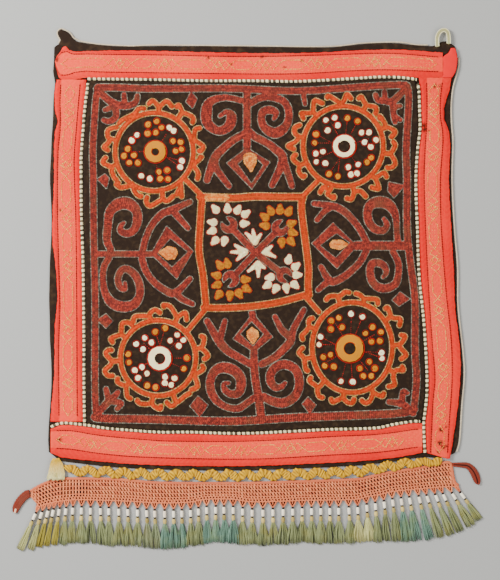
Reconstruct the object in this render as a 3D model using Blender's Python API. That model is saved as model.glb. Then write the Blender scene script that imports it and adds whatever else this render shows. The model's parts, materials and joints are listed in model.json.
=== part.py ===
"""Embroidered felt panel with a quilted red border, a netted band and a beaded tassel fringe.

The panel lies face up: +Z is up, +Y points to its top edge and +X to its right edge.
The origin is on the underside, below the middle of the embroidered cross.
Tables are in millimetres and the scene is in metres.
"""

import math
import random

import bmesh
import bpy

MM = 0.001

# Heights of the layers above the surface that the panel lies on.
BACK_THICKNESS = 2.0
LAYER_GAP = 0.3
FACE_BASE = BACK_THICKNESS + LAYER_GAP
CENTRE_THICKNESS = 2.0
BORDER_THICKNESS = 2.2
CENTRE_PUCKER = 0.25
CENTRE_PARTS = 20

# Quilting of the border strips: troughs at the stitched lines, and soft crowns between them.
QUILT_DEPTH = 0.5
BORDER_EDGE_DROP = 0.8
LONG_PUFF = 0.15
SHORT_PUFF = 0.10
NARROWEST_MARGIN = 0.1
MARGIN_CROWN = 0.45
CHANNEL_CROWN = 0.3

# The right strip's lower end is cut on a slant, below this height and at this slope.
STRIP_TURN = -250.0
STRIP_TURN_SLOPE = 3.6

# Distances between the sections of the long pieces.
OUTLINE_STEP = 14.0
STRIP_STEP = 12.5
CORD_STEP = 11.0
NET_STEP = 9.0

# Whipped cord between the border and the centre, and the thin cord on the outer edge.
EDGING_RADIUS = 1.2
EDGING_GROOVE = EDGING_RADIUS + 0.7
CENTRE_GROOVE = EDGING_RADIUS + 1.1
EDGE_CORD_RADIUS = 0.8
EDGE_CORD_OFFSET = EDGE_CORD_RADIUS + 0.3
EDGE_CORD_HEIGHT = 1.1

# Zigzag ribbon.
RIBBON_WIDTH = 9.0
RIBBON_THICKNESS = 1.7
RIBBON_PITCH = 22.0
RIBBON_SWING = 3.2
RIBBON_CALM_FROM = 192.0
RIBBON_STEPS_PER_PITCH = 6

# Netted band, ties and hanging loop.
NET_THICKNESS = 2.0
NET_CORD_WIDTH = 3.5
NET_CORD_HEIGHT = 2.3
NET_EDGE_DROP = 0.3
BAND_CROWN = 0.5
TIE_THICKNESS = 2.2
LOOP_BAND = 5.0
LOOP_THICKNESS = 2.4

# Tassel fringe.
STRING_COUNT = 50
LOCKS_PER_TASSEL = 5
FRINGE_SEED = 11
STRIP_HEIGHT = 3.5
STRIP_THICKNESS = 2.0
STRIP_START = -273.8
STRIP_END = 256.2
END_SPACING = 5.6
TOOTH_SHARE = 0.74
TOOTH_LENGTH = 7.0
STRING_WIDTH = 2.2
STRING_LENGTH = 11.5
HEAD_WIDTH = 3.6
HEAD_HEIGHT = 3.4
HEAD_LENGTH = 6.0
SKIRT_SHARE = 0.9
WIDEST_SKIRT_PITCH = 11.5
SKIRT_ARC = 0.12
LOCK_TIP_SHARE = 0.62
LOCK_TIP_HEIGHT = 1.6
PLACE_JITTER = 0.8
LEAN_JITTER = 0.02
LENGTH_JITTER = 1.2
TIP_JITTER = 0.5

# Edge lines. Each row is (place along the edge, distance across it).
BACK_LEFT = [  # y, x
    (241.0, -252.0), (228.5, -253.5), (218.5, -250.5), (208.0, -251.5), (191.0, -252.5),
    (166.0, -253.5), (141.0, -255.0), (91.0, -257.0), (41.0, -255.0), (-9.0, -257.0),
    (-49.0, -258.0), (-107.0, -257.0), (-157.0, -255.0), (-184.0, -256.5), (-217.0, -258.5),
    (-234.0, -259.5), (-249.0, -258.5),
]
BACK_RIGHT = [  # y, x
    (247.5, 253.5), (234.0, 253.8), (221.0, 250.5), (206.0, 246.5), (185.0, 244.5),
    (160.0, 245.0), (141.0, 246.5), (91.0, 245.5), (31.0, 248.5), (-19.0, 252.5),
    (-64.0, 252.8), (-127.0, 259.5), (-152.0, 260.8), (-194.0, 257.5), (-237.0, 254.5),
    (-251.0, 250.5),
]
BACK_TOP = [  # x, y
    (-222.0, 265.0), (-212.0, 263.0), (-194.0, 260.5), (-156.0, 258.5), (-131.0, 259.3),
    (-6.0, 258.5), (64.0, 257.5), (100.0, 258.0), (119.0, 260.0), (134.0, 261.8),
    (169.0, 263.2), (187.0, 262.5), (201.0, 260.0), (222.0, 259.6),
]
BACK_BOTTOM = [  # x, y
    (-244.0, -260.5), (-219.0, -263.5), (-194.0, -266.5), (-156.0, -269.5), (-81.0, -272.0),
    (-6.0, -272.0), (74.0, -269.0), (134.0, -265.5), (181.0, -260.0), (212.0, -255.5),
    (231.0, -257.0),
]
EAR_LEFT = [  # x, y around the pointed ear at the upper left corner
    (-251.5, 258.5), (-245.0, 262.5), (-243.0, 267.0), (-245.5, 271.5), (-246.5, 276.5),
    (-243.0, 280.0), (-238.5, 278.5), (-232.5, 275.3), (-228.0, 269.0),
]
EAR_RIGHT = [  # x, y around the low corner under the hanging loop
    (229.0, 261.5), (233.0, 264.5), (240.0, 265.5), (245.0, 262.5), (250.5, 259.0),
]
LEFT_RED = [  # y, x of the red border's outer edge
    (214.0, -248.0), (206.0, -250.6), (179.0, -250.0), (169.0, -247.5), (160.0, -246.2),
    (152.0, -250.0), (122.0, -251.3), (91.0, -251.3), (21.0, -253.5), (-19.0, -249.0),
    (-59.0, -247.0), (-87.0, -250.0), (-157.0, -251.3), (-184.0, -254.0), (-217.0, -256.3),
]
RIGHT_RED = [  # y, x
    (218.0, 246.0), (206.0, 243.8), (194.0, 240.0), (181.0, 236.3), (174.0, 235.5),
    (164.0, 237.5), (156.0, 241.3), (147.0, 243.6), (129.0, 244.0), (91.0, 242.5),
    (31.0, 245.5), (-29.0, 249.0), (-69.0, 250.3), (-107.0, 255.0), (-140.0, 257.3),
    (-184.0, 254.5), (-209.0, 251.3), (-234.0, 247.5), (-250.0, 245.0), (-257.5, 243.8),
]
TOP_RED_OUTER = [  # x, y
    (-249.8, 240.5), (-248.0, 246.0), (-243.5, 251.5), (-240.5, 257.0), (-236.5, 258.3),
    (-232.5, 254.0), (-225.0, 251.8), (-206.0, 252.5), (-171.0, 253.2), (-120.0, 252.5),
    (-69.0, 251.3), (-6.0, 250.0), (54.0, 250.0), (94.0, 251.3), (119.0, 253.0),
    (172.0, 254.4), (200.0, 253.2), (233.6, 250.5),
]
TOP_RED_INNER = [  # x, y of the lower side of the top strip
    (-249.8, 237.5), (-248.0, 226.0), (-243.5, 217.5), (-230.0, 216.8), (-210.0, 219.1),
    (-194.0, 219.0), (-120.0, 218.1), (-60.0, 216.8), (-6.0, 216.8), (50.0, 216.0),
    (94.0, 217.8), (114.0, 219.0), (137.0, 220.4), (154.0, 221.5), (181.0, 221.0),
    (204.0, 219.0), (220.0, 219.2), (234.0, 219.4),
]
BOTTOM_RED = [  # x, y of the lower side of the bottom strip
    (-255.5, -250.0), (-244.0, -255.0), (-219.0, -258.3), (-194.0, -260.6), (-156.0, -263.8),
    (-80.0, -266.3), (-6.0, -266.3), (74.0, -263.3), (134.0, -260.0), (181.0, -255.0),
    (210.0, -249.5),
]
EDGING_TOP = [  # x, y
    (-209.5, 217.6), (-194.0, 217.5), (-120.0, 216.6), (-60.0, 215.3), (-6.0, 215.3),
    (50.0, 214.5), (94.0, 216.3), (114.0, 217.5), (137.0, 218.9), (154.0, 220.0),
    (181.0, 219.5), (196.0, 217.8), (204.0, 216.4),
]
EDGING_BOTTOM = [  # x, y
    (-255.3, -218.0), (-251.3, -215.6), (-246.3, -213.8), (-241.0, -212.6), (-234.0, -212.5),
    (-225.0, -213.6), (-215.0, -214.6), (-206.0, -215.8), (-194.0, -218.0), (-179.0, -219.8),
    (-159.0, -221.4), (-120.0, -224.0), (-80.0, -224.0), (-40.0, -225.4), (-6.0, -225.4),
    (56.0, -222.5), (94.0, -220.5), (121.0, -220.0), (154.0, -218.5), (169.0, -215.2),
    (181.0, -212.9), (194.0, -211.0), (201.0, -210.3), (208.4, -210.8),
]
EDGING_LEFT = [  # y, x
    (214.8, -208.9), (204.0, -209.6), (194.0, -211.2), (181.0, -212.5), (170.0, -213.8),
    (160.0, -214.3), (135.0, -216.3), (119.0, -217.3), (91.0, -217.3), (51.0, -217.0),
    (-9.0, -215.0), (-107.0, -213.8), (-157.0, -213.8), (-211.9, -213.1),
]
EDGING_RIGHT = [  # y, x
    (213.6, 202.8), (211.0, 203.5), (204.0, 204.9), (179.0, 205.8), (154.0, 206.3),
    (129.0, 203.3), (91.0, 201.2), (31.0, 203.0), (-29.0, 205.3), (-87.0, 211.2),
    (-147.0, 214.8), (-177.0, 214.8), (-199.0, 212.5), (-211.0, 211.0), (-227.0, 211.3),
    (-250.0, 212.5),
]

# Quilting lines of the border strips. Each row is (place along the strip, distance across it).
QUILT_TOP_OUTER = [(-250.0, 239.5), (-240.0, 251.0), (-212.0, 248.8), (-120.0, 247.5), (-6.0, 245.5),
                   (119.0, 248.5), (172.0, 249.5), (234.0, 244.5)]
QUILT_TOP_INNER = [(-250.0, 238.5), (-243.0, 223.0), (-218.0, 227.5), (-196.0, 226.5), (-60.0, 224.5),
                   (50.0, 224.0), (154.0, 229.0), (234.0, 226.5)]
QUILT_BOTTOM_UPPER = [(-255.0, -222.0), (-231.0, -222.0), (-194.0, -228.0), (-140.0, -233.0),
                      (-110.0, -235.0), (-6.0, -235.0), (94.0, -229.5), (156.0, -226.3),
                      (206.0, -219.5)]
QUILT_BOTTOM_LOWER = [(-255.0, -243.8), (-231.0, -245.0), (-194.0, -250.6), (-140.0, -255.0),
                      (-6.0, -257.5), (94.0, -252.5), (156.0, -248.8), (206.0, -242.0)]
QUILT_LEFT_OUTER = [(214.0, -242.5), (191.0, -243.8), (160.0, -243.2), (129.0, -246.0), (66.0, -247.0),
                    (-9.0, -245.5), (-59.0, -243.8), (-121.0, -245.5), (-211.0, -245.0)]
QUILT_LEFT_INNER = [(214.0, -218.3), (191.0, -220.5), (154.0, -223.5), (119.0, -226.3), (91.0, -225.8),
                    (41.0, -224.0), (-59.0, -223.0), (-211.0, -222.3)]
QUILT_RIGHT_INNER = [(218.0, 214.5), (166.0, 214.8), (129.0, 212.5), (91.0, 211.3), (-9.0, 215.0),
                     (-107.0, 221.0), (-157.0, 225.0), (-184.0, 222.5), (-250.0, 219.5)]
QUILT_RIGHT_OUTER = [(218.0, 235.0), (194.0, 231.5), (166.0, 232.0), (147.0, 235.0), (91.0, 231.5),
                     (31.0, 232.8), (-49.0, 238.8), (-107.0, 245.0), (-157.0, 246.3), (-214.0, 242.5),
                     (-250.0, 240.5)]

# Lines of the ribbon, the netted band and the fringe.
RIBBON_LINE = [  # x, y
    (-236.0, -271.5), (-194.0, -273.5), (-156.0, -276.0), (-81.0, -278.0), (-6.0, -278.0),
    (56.0, -276.5), (94.0, -275.0), (131.0, -272.5), (156.0, -269.0), (181.0, -264.6),
    (206.0, -262.3), (220.0, -261.2), (234.0, -262.3),
]
NET_TOP = [  # x, y
    (-281.0, -296.5), (-269.0, -289.5), (-256.0, -284.0), (-244.0, -281.5), (-232.0, -280.8),
    (-179.0, -281.3), (-156.0, -283.1), (-120.0, -286.0), (-6.0, -286.3), (56.0, -284.4),
    (94.0, -283.0), (131.0, -281.2), (156.0, -275.5), (181.0, -271.0), (206.0, -267.3),
    (231.0, -262.0), (243.0, -260.5), (245.8, -264.5), (247.8, -277.0), (251.0, -286.5),
    (256.6, -289.5),
]
VALLEY_LINE = [  # x, y of the notches between the teeth
    (-280.0, -309.0), (-272.5, -317.5), (-262.0, -315.0), (-250.0, -312.3), (-236.0, -310.5),
    (-225.0, -309.5), (-197.0, -310.0), (-156.0, -311.5), (-119.0, -313.5), (-81.0, -312.5),
    (-61.0, -309.0), (-27.0, -309.0), (-6.0, -312.0), (32.0, -311.5), (56.0, -310.5),
    (127.0, -309.0), (139.0, -306.0), (156.0, -303.0), (171.0, -299.5), (194.0, -297.0),
    (215.0, -295.0), (235.0, -293.5), (252.5, -293.0), (256.6, -293.5),
]
STRING_PLACES = [  # string number, x of its tooth
    (0.0, -271.0), (6.0, -227.0), (12.0, -159.0), (18.0, -92.0), (24.0, -27.0), (30.0, 47.0),
    (36.0, 116.0), (42.0, 182.0), (49.0, 251.5),
]
STRING_LEAN = [  # x, sideways run for each unit of length
    (-275.0, -0.46), (-258.0, -0.26), (-236.0, -0.10), (-194.0, 0.02), (-6.0, 0.0), (100.0, 0.03),
    (181.0, 0.14), (219.0, 0.36), (239.0, 0.56), (254.0, 0.76),
]
TASSEL_LENGTH = [  # x, length from the notch line to the tips
    (-275.0, 60.0), (-236.0, 55.0), (-156.0, 57.0), (-6.0, 54.0), (56.0, 53.5), (131.0, 55.0),
    (156.0, 60.0), (206.0, 65.0), (231.0, 62.0), (245.0, 55.0), (254.0, 50.0),
]

# Ties, loop, flap and the frayed end of the ribbon. Rows are (x, y, width).
TIE_LEFT_LINE = [(-281.9, -301.0, 9.0), (-285.0, -302.0, 10.5), (-290.5, -306.3, 10.5),
                 (-295.5, -312.5, 10.5), (-299.0, -319.0, 9.5), (-300.5, -325.0, 6.0)]
TIE_RIGHT_LINE = [(246.7, -264.8, 4.5), (258.0, -265.3, 6.5), (266.5, -266.5, 8.0),
                  (272.5, -272.0, 9.5), (276.5, -279.5, 10.0), (278.5, -286.5, 8.0),
                  (278.0, -289.5, 4.5)]
LOOP_LINE = [(228.0, 258.5), (227.6, 264.0), (228.2, 271.0), (231.5, 276.8), (236.5, 278.8),
             (240.6, 276.2), (242.0, 270.0), (242.2, 262.0)]
FLAP_ROWS = [  # y, left x, right x
    (220.2, 235.0, 246.5), (226.0, 234.8, 250.5), (233.0, 234.6, 252.3), (241.0, 234.4, 253.0),
    (246.0, 236.0, 252.8), (250.0, 241.5, 252.0), (254.0, 244.0, 251.0), (257.0, 245.0, 249.0),
]
RIBBON_END_ROWS = [  # y, left x, right x
    (-257.0, -252.5, -245.5), (-263.0, -255.5, -241.0), (-270.0, -257.0, -239.0),
    (-278.0, -259.0, -238.0), (-284.0, -261.0, -238.5),
]
RIBBON_END_CROWN = 1.6
TOP_STRIP_END_PLACES = [-249.8, -248.0, -245.5, -243.5, -240.5, -238.5, -236.5, -234.5, -232.5, -229.0]
TOP_STRIP_LONG_ENDS = (-225.0, 233.6)
LEFT_STRIP_ENDS = (213.8, -211.0)
RIGHT_STRIP_ENDS = (217.5, -250.0)
RIGHT_STRIP_SLANT_PLACES = [-252.5, -255.0, -257.0]
BOTTOM_STRIP_ENDS = (-255.5, 209.2)
NET_START_PLACES = [-281.0, -277.0, -272.5, -268.0]
NET_LONG_ENDS = (-262.0, 240.0)
NET_END_PLACES = [243.0, 245.0, 246.2, 247.8, 251.0, 255.0]
EDGE_CORD_ENDS = (-220.0, 219.0)
EDGE_CORD_RIGHT_ENDS = (244.0, -249.0)

COLOURS = {
    "back_cloth": (0.030, 0.022, 0.016),
    "centre_felt": (0.035, 0.025, 0.018),
    "border": (0.80, 0.10, 0.08),
    "corner_flap": (0.85, 0.05, 0.05),
    "edging": (0.80, 0.72, 0.58),
    "edge_cord": (0.55, 0.48, 0.40),
    "loop_right": (0.50, 0.47, 0.34),
    "zigzag_ribbon": (0.75, 0.45, 0.05),
    "net_band": (0.62, 0.20, 0.13),
    "tassel_fringe": (0.30, 0.36, 0.22),
    "tie": (0.55, 0.07, 0.06),
}
CLOTH_ROUGHNESS = 0.9


def clear_scene():
    """Remove every object, so that only the panel is left."""
    for old in list(bpy.data.objects):
        bpy.data.objects.remove(old, do_unlink=True)


def cloth_material(name, colour):
    """Return a matt cloth material of one colour."""
    material = bpy.data.materials.new(name)
    material.use_nodes = True
    shader = material.node_tree.nodes["Principled BSDF"]
    shader.inputs["Base Color"].default_value = (*colour, 1.0)
    shader.inputs["Roughness"].default_value = CLOTH_ROUGHNESS
    shader.inputs["Metallic"].default_value = 0.0
    return material


def line_through(rows):
    """Return a smooth function through (place, distance) rows, in either order."""
    rows = sorted(rows)
    places = [row[0] for row in rows]
    values = [row[1] for row in rows]

    def slope(index):
        low = max(index - 1, 0)
        high = min(index + 1, len(rows) - 1)
        return (values[high] - values[low]) / (places[high] - places[low])

    def value_at(place):
        place = min(max(place, places[0]), places[-1])
        index = 0
        while index < len(rows) - 2 and place > places[index + 1]:
            index += 1
        span = places[index + 1] - places[index]
        t = (place - places[index]) / span
        start_pull = (2 * t**3 - 3 * t**2 + 1) * values[index]
        start_turn = (t**3 - 2 * t**2 + t) * span * slope(index)
        end_pull = (3 * t**2 - 2 * t**3) * values[index + 1]
        end_turn = (t**3 - t**2) * span * slope(index + 1)
        return start_pull + start_turn + end_pull + end_turn

    return value_at


def spread(start, stop, step):
    """Return evenly spaced places from start to stop, about one step apart."""
    count = max(2, round(abs(stop - start) / step) + 1)
    return [start + (stop - start) * i / (count - 1) for i in range(count)]


def along(rows, step, backward=False):
    """Return evenly spaced places over the whole length of a table."""
    first = min(row[0] for row in rows)
    last = max(row[0] for row in rows)
    return spread(last, first, step) if backward else spread(first, last, step)


def keep_mesh(name, mesh_builder, colour):
    """Turn a bmesh in millimetres into a named object in metres."""
    bmesh.ops.recalc_face_normals(mesh_builder, faces=mesh_builder.faces)
    bmesh.ops.scale(mesh_builder, vec=(MM, MM, MM), verts=mesh_builder.verts)
    mesh = bpy.data.meshes.new(name)
    mesh_builder.to_mesh(mesh)
    mesh_builder.free()
    made = bpy.data.objects.new(name, mesh)
    made.data.materials.append(cloth_material(name, colour))
    bpy.context.scene.collection.objects.link(made)
    return made


def loft(name, sections, colour):
    """Join closed sections of equal length into one body with flat ends."""
    shape = bmesh.new()
    rings = [[shape.verts.new(point) for point in section] for section in sections]
    for ring, following in zip(rings, rings[1:]):
        for i in range(len(ring)):
            j = (i + 1) % len(ring)
            shape.faces.new((ring[i], ring[j], following[j], following[i]))
    shape.faces.new(rings[0])
    shape.faces.new(rings[-1])
    return keep_mesh(name, shape, colour)


def slab(name, outline, low, high, colour):
    """Extrude a flat outline into a sheet between two heights."""
    shape = bmesh.new()
    floor = shape.faces.new([shape.verts.new((x, y, low)) for x, y in outline])
    raised = bmesh.ops.extrude_face_region(shape, geom=[floor])["geom"]
    lifted = [item for item in raised if isinstance(item, bmesh.types.BMVert)]
    bmesh.ops.translate(shape, vec=(0.0, 0.0, high - low), verts=lifted)
    return keep_mesh(name, shape, colour)


def smooth_points(points, parts):
    """Return points on a smooth curve that passes through all the given points."""
    result = []
    for i in range(len(points) - 1):
        before = points[max(i - 1, 0)]
        here = points[i]
        there = points[i + 1]
        after = points[min(i + 2, len(points) - 1)]
        for k in range(parts):
            t = k / parts
            result.append(tuple(
                0.5 * (2 * b + (c - a) * t + (2 * a - 5 * b + 4 * c - d) * t**2
                       + (3 * b - a - 3 * c + d) * t**3)
                for a, b, c, d in zip(before, here, there, after)))
    result.append(points[-1])
    return result


def strip_section(low, high, first_quilt, second_quilt, puff):
    """Return (across, height) points of a quilted strip, with troughs at its two quilting lines."""
    top = FACE_BASE + BORDER_THICKNESS + puff
    rim = top - BORDER_EDGE_DROP
    trough = top - QUILT_DEPTH
    near = min(first_quilt, second_quilt)
    far = max(first_quilt, second_quilt)
    near = max(near, low + NARROWEST_MARGIN * (high - low))
    far = min(far, high - NARROWEST_MARGIN * (high - low))
    return [
        (low, FACE_BASE),
        (low, rim),
        (low + MARGIN_CROWN * (near - low), top),
        (near, trough),
        (near + CHANNEL_CROWN * (far - near), top),
        (far - CHANNEL_CROWN * (far - near), top),
        (far, trough),
        (high - MARGIN_CROWN * (high - far), top),
        (high, rim),
        (high, FACE_BASE),
    ]


def border_strip(name, places, low_line, high_line, quilts, along_x):
    """Make one quilted strip of the border, with its sections set along X or along Y."""
    sections = []
    for place in places:
        puff = LONG_PUFF * math.sin(place * 0.11) + SHORT_PUFF * math.sin(place * 0.047 + 1.0)
        section = strip_section(low_line(place), high_line(place), quilts[0](place), quilts[1](place), puff)
        if along_x:
            sections.append([(place, across, height) for across, height in section])
        else:
            sections.append([(across, place, height) for across, height in section])
    return loft(name, sections, COLOURS["border"])


def cord(name, points, radius, colour):
    """Make a round cord with closed ends along points in millimetres."""
    data = bpy.data.curves.new(name, "CURVE")
    data.dimensions = "3D"
    data.bevel_depth = radius * MM
    data.bevel_resolution = 1
    data.use_fill_caps = True
    spline = data.splines.new("POLY")
    spline.points.add(len(points) - 1)
    for spot, (x, y, z) in zip(spline.points, points):
        spot.co = (x * MM, y * MM, z * MM, 1.0)
    made = bpy.data.objects.new(name, data)
    made.data.materials.append(cloth_material(name, colour))
    bpy.context.scene.collection.objects.link(made)
    return made


def flat_band(name, rows, low, thickness, colour, crown=0.0):
    """Make a flat band along (x, y, width) rows, with a crown along its middle."""
    sections = []
    for i, (x, y, width) in enumerate(rows):
        before = rows[max(i - 1, 0)]
        after = rows[min(i + 1, len(rows) - 1)]
        run = math.hypot(after[0] - before[0], after[1] - before[1])
        side_x = -(after[1] - before[1]) / run
        side_y = (after[0] - before[0]) / run
        half = 0.5 * width
        rim = low + thickness
        profile = [(-half, low), (-half, rim - crown), (-0.5 * half, rim), (0.5 * half, rim),
                   (half, rim - crown), (half, low)]
        sections.append([(x + side_x * across, y + side_y * across, height) for across, height in profile])
    return loft(name, sections, colour)


def make_back_cloth():
    """Make the dark felt backing, with an ear at its upper left corner."""
    left = line_through(BACK_LEFT)
    right = line_through(BACK_RIGHT)
    top = line_through(BACK_TOP)
    bottom = line_through(BACK_BOTTOM)
    outline = [(left(y), y) for y in along(BACK_LEFT, OUTLINE_STEP)]
    outline += smooth_points(EAR_LEFT, 3)
    outline += [(x, top(x)) for x in along(BACK_TOP, OUTLINE_STEP)]
    outline += smooth_points(EAR_RIGHT, 2)
    outline += [(right(y), y) for y in along(BACK_RIGHT, OUTLINE_STEP, backward=True)]
    outline += [(x, bottom(x)) for x in along(BACK_BOTTOM, OUTLINE_STEP, backward=True)]
    slab("back_cloth", outline, 0.0, BACK_THICKNESS, COLOURS["back_cloth"])


def make_centre_felt():
    """Make the embroidered ground, a four sided sheet with a slightly puckered face."""
    top = line_through(EDGING_TOP)
    bottom = line_through(EDGING_BOTTOM)
    left = line_through(EDGING_LEFT)
    right = line_through(EDGING_RIGHT)
    parts = CENTRE_PARTS
    upper_y = EDGING_LEFT[0][0]
    lower_y = EDGING_LEFT[-1][0]
    shape = bmesh.new()
    grid = []
    for row in range(parts + 1):
        v = row / parts
        line = []
        for column in range(parts + 1):
            u = column / parts
            rough_y = lower_y + (upper_y - lower_y) * v
            x = (1 - u) * (left(rough_y) + CENTRE_GROOVE) + u * (right(rough_y) - CENTRE_GROOVE)
            y = (1 - v) * (bottom(x) + CENTRE_GROOVE) + v * (top(x) - CENTRE_GROOVE)
            pucker = CENTRE_PUCKER * (math.sin(0.071 * x + 0.6) * math.sin(0.083 * y) - 1.0)
            line.append(shape.verts.new((x, y, FACE_BASE + CENTRE_THICKNESS + pucker)))
        grid.append(line)
    for row in range(parts):
        for column in range(parts):
            shape.faces.new((grid[row][column], grid[row][column + 1],
                             grid[row + 1][column + 1], grid[row + 1][column]))
    rim = grid[0][:]
    rim += [line[-1] for line in grid[1:]]
    rim += grid[-1][-2::-1]
    rim += [line[0] for line in grid[-2:0:-1]]
    feet = [shape.verts.new((spot.co.x, spot.co.y, FACE_BASE)) for spot in rim]
    for i in range(len(rim)):
        j = (i + 1) % len(rim)
        shape.faces.new((rim[i], rim[j], feet[j], feet[i]))
    shape.faces.new(feet)
    keep_mesh("centre_felt", shape, COLOURS["centre_felt"])


def make_border():
    """Make the four quilted strips and the flap that wraps the upper right corner."""
    edging_bottom = line_through(EDGING_BOTTOM)
    edging_left = line_through(EDGING_LEFT)
    edging_right = line_through(EDGING_RIGHT)
    top_inner = line_through(TOP_RED_INNER)

    def left_inside(y):
        return edging_left(y) - EDGING_GROOVE

    def right_inside(y):
        return edging_right(y) + EDGING_GROOVE + max(0.0, STRIP_TURN - y) * STRIP_TURN_SLOPE

    def bottom_inside(x):
        return edging_bottom(x) - EDGING_GROOVE

    top_places = TOP_STRIP_END_PLACES + spread(*TOP_STRIP_LONG_ENDS, OUTLINE_STEP)
    border_strip("border_top", top_places, top_inner, line_through(TOP_RED_OUTER),
                 (line_through(QUILT_TOP_OUTER), line_through(QUILT_TOP_INNER)), True)
    border_strip("border_left", spread(*LEFT_STRIP_ENDS, STRIP_STEP), line_through(LEFT_RED), left_inside,
                 (line_through(QUILT_LEFT_OUTER), line_through(QUILT_LEFT_INNER)), False)
    right_places = spread(*RIGHT_STRIP_ENDS, STRIP_STEP) + RIGHT_STRIP_SLANT_PLACES
    border_strip("border_right", right_places, right_inside, line_through(RIGHT_RED),
                 (line_through(QUILT_RIGHT_INNER), line_through(QUILT_RIGHT_OUTER)), False)
    bottom_places = spread(*BOTTOM_STRIP_ENDS, STRIP_STEP)
    border_strip("border_bottom", bottom_places, line_through(BOTTOM_RED), bottom_inside,
                 (line_through(QUILT_BOTTOM_UPPER), line_through(QUILT_BOTTOM_LOWER)), True)
    flap = []
    for y, left, right in FLAP_ROWS:
        rim = FACE_BASE + BORDER_THICKNESS - 0.5
        middle = 0.5 * (left + right)
        flap.append([(left, y, FACE_BASE), (left, y, rim), (middle, y, rim + 0.7), (right, y, rim),
                     (right, y, FACE_BASE)])
    loft("corner_flap", flap, COLOURS["corner_flap"])


def make_edging():
    """Make the four whipped runs that lie in the groove around the centre."""
    height = FACE_BASE + EDGING_RADIUS + 0.4
    top = line_through(EDGING_TOP)
    bottom = line_through(EDGING_BOTTOM)
    left = line_through(EDGING_LEFT)
    right = line_through(EDGING_RIGHT)
    runs = {
        "edging_top": [(x, top(x), height) for x in along(EDGING_TOP, CORD_STEP)],
        "edging_bottom": [(x, bottom(x), height) for x in along(EDGING_BOTTOM, CORD_STEP)],
        "edging_left": [(left(y), y, height) for y in along(EDGING_LEFT, CORD_STEP)],
        "edging_right": [(right(y), y, height) for y in along(EDGING_RIGHT, CORD_STEP)],
    }
    for name, points in runs.items():
        cord(name, points, EDGING_RADIUS, COLOURS["edging"])


def make_edge_cords():
    """Make the thin pale cords along the top edge and the right edge of the backing."""
    top = line_through(BACK_TOP)
    right = line_through(BACK_RIGHT)
    ear_line = offset_line(smooth_points(EAR_LEFT[1:], 3), EDGE_CORD_OFFSET)
    ear = [(x, y, EDGE_CORD_HEIGHT) for x, y in ear_line]
    level_places = spread(*EDGE_CORD_ENDS, OUTLINE_STEP)
    level = [(x, top(x) + EDGE_CORD_OFFSET, EDGE_CORD_HEIGHT) for x in level_places]
    cord("edge_cord", ear + level, EDGE_CORD_RADIUS, COLOURS["edge_cord"])
    side_offset = EDGE_CORD_OFFSET + LAYER_GAP
    side_places = spread(*EDGE_CORD_RIGHT_ENDS, OUTLINE_STEP)
    side = [(right(y) + side_offset, y, EDGE_CORD_HEIGHT) for y in side_places]
    cord("edge_cord_right", side, EDGE_CORD_RADIUS, COLOURS["edge_cord"])


def offset_line(points, distance):
    """Move an open line sideways, to the left of its direction of travel."""
    moved = []
    for i, (x, y) in enumerate(points):
        before = points[max(i - 1, 0)]
        after = points[min(i + 1, len(points) - 1)]
        run = math.hypot(after[0] - before[0], after[1] - before[1])
        shift = distance / run
        moved.append((x - shift * (after[1] - before[1]), y + shift * (after[0] - before[0])))
    return moved


def make_loop_and_ties():
    """Make the hanging loop, the two ties and the frayed end of the ribbon."""
    loop_rows = [(x, y, LOOP_BAND) for x, y in smooth_points(LOOP_LINE, 2)]
    flat_band("loop_right", loop_rows, FACE_BASE, LOOP_THICKNESS, COLOURS["loop_right"], BAND_CROWN)
    flat_band("tie_left", smooth_points(TIE_LEFT_LINE, 3), 0.0, TIE_THICKNESS, COLOURS["tie"], BAND_CROWN)
    flat_band("tie_right", smooth_points(TIE_RIGHT_LINE, 3), 0.0, TIE_THICKNESS, COLOURS["tie"], BAND_CROWN)
    sections = []
    for y, left, right in RIBBON_END_ROWS:
        rim = FACE_BASE + RIBBON_THICKNESS
        middle = 0.5 * (left + right)
        sections.append([(left, y, FACE_BASE), (left, y, rim), (middle, y, rim + RIBBON_END_CROWN),
                         (right, y, rim), (right, y, FACE_BASE)])
    loft("ribbon_end", sections, COLOURS["zigzag_ribbon"])


def make_ribbon():
    """Make the braid that runs in a zigzag from the backing to the netted band."""
    middle = line_through(RIBBON_LINE)
    step = RIBBON_PITCH / RIBBON_STEPS_PER_PITCH
    rows = []
    places = along(RIBBON_LINE, step)
    for x in places:
        calm = 0.5 if x > RIBBON_CALM_FROM else 1.0
        swing = calm * RIBBON_SWING * math.sin(2 * math.pi * (x - places[0]) / RIBBON_PITCH)
        rows.append((x, middle(x) + swing, RIBBON_WIDTH))
    flat_band("zigzag_ribbon", rows, FACE_BASE, RIBBON_THICKNESS, COLOURS["zigzag_ribbon"], BAND_CROWN)


def make_net_band():
    """Make the netted band, with the solid cord that edges its top."""
    top = line_through(NET_TOP)
    valley = line_through(VALLEY_LINE)
    places = NET_START_PLACES + spread(*NET_LONG_ENDS, NET_STEP) + NET_END_PLACES
    sections = []
    for x in places:
        high = top(x)
        low = valley(x) + STRIP_HEIGHT + LAYER_GAP
        cord_side = max(high - NET_CORD_WIDTH, 0.5 * (high + low))
        sections.append([
            (x, low, 0.0), (x, low, NET_THICKNESS), (x, cord_side, NET_THICKNESS),
            (x, 0.5 * (high + cord_side), NET_CORD_HEIGHT), (x, high, NET_THICKNESS - NET_EDGE_DROP),
            (x, high, 0.0),
        ])
    loft("net_band", sections, COLOURS["net_band"])


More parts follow.
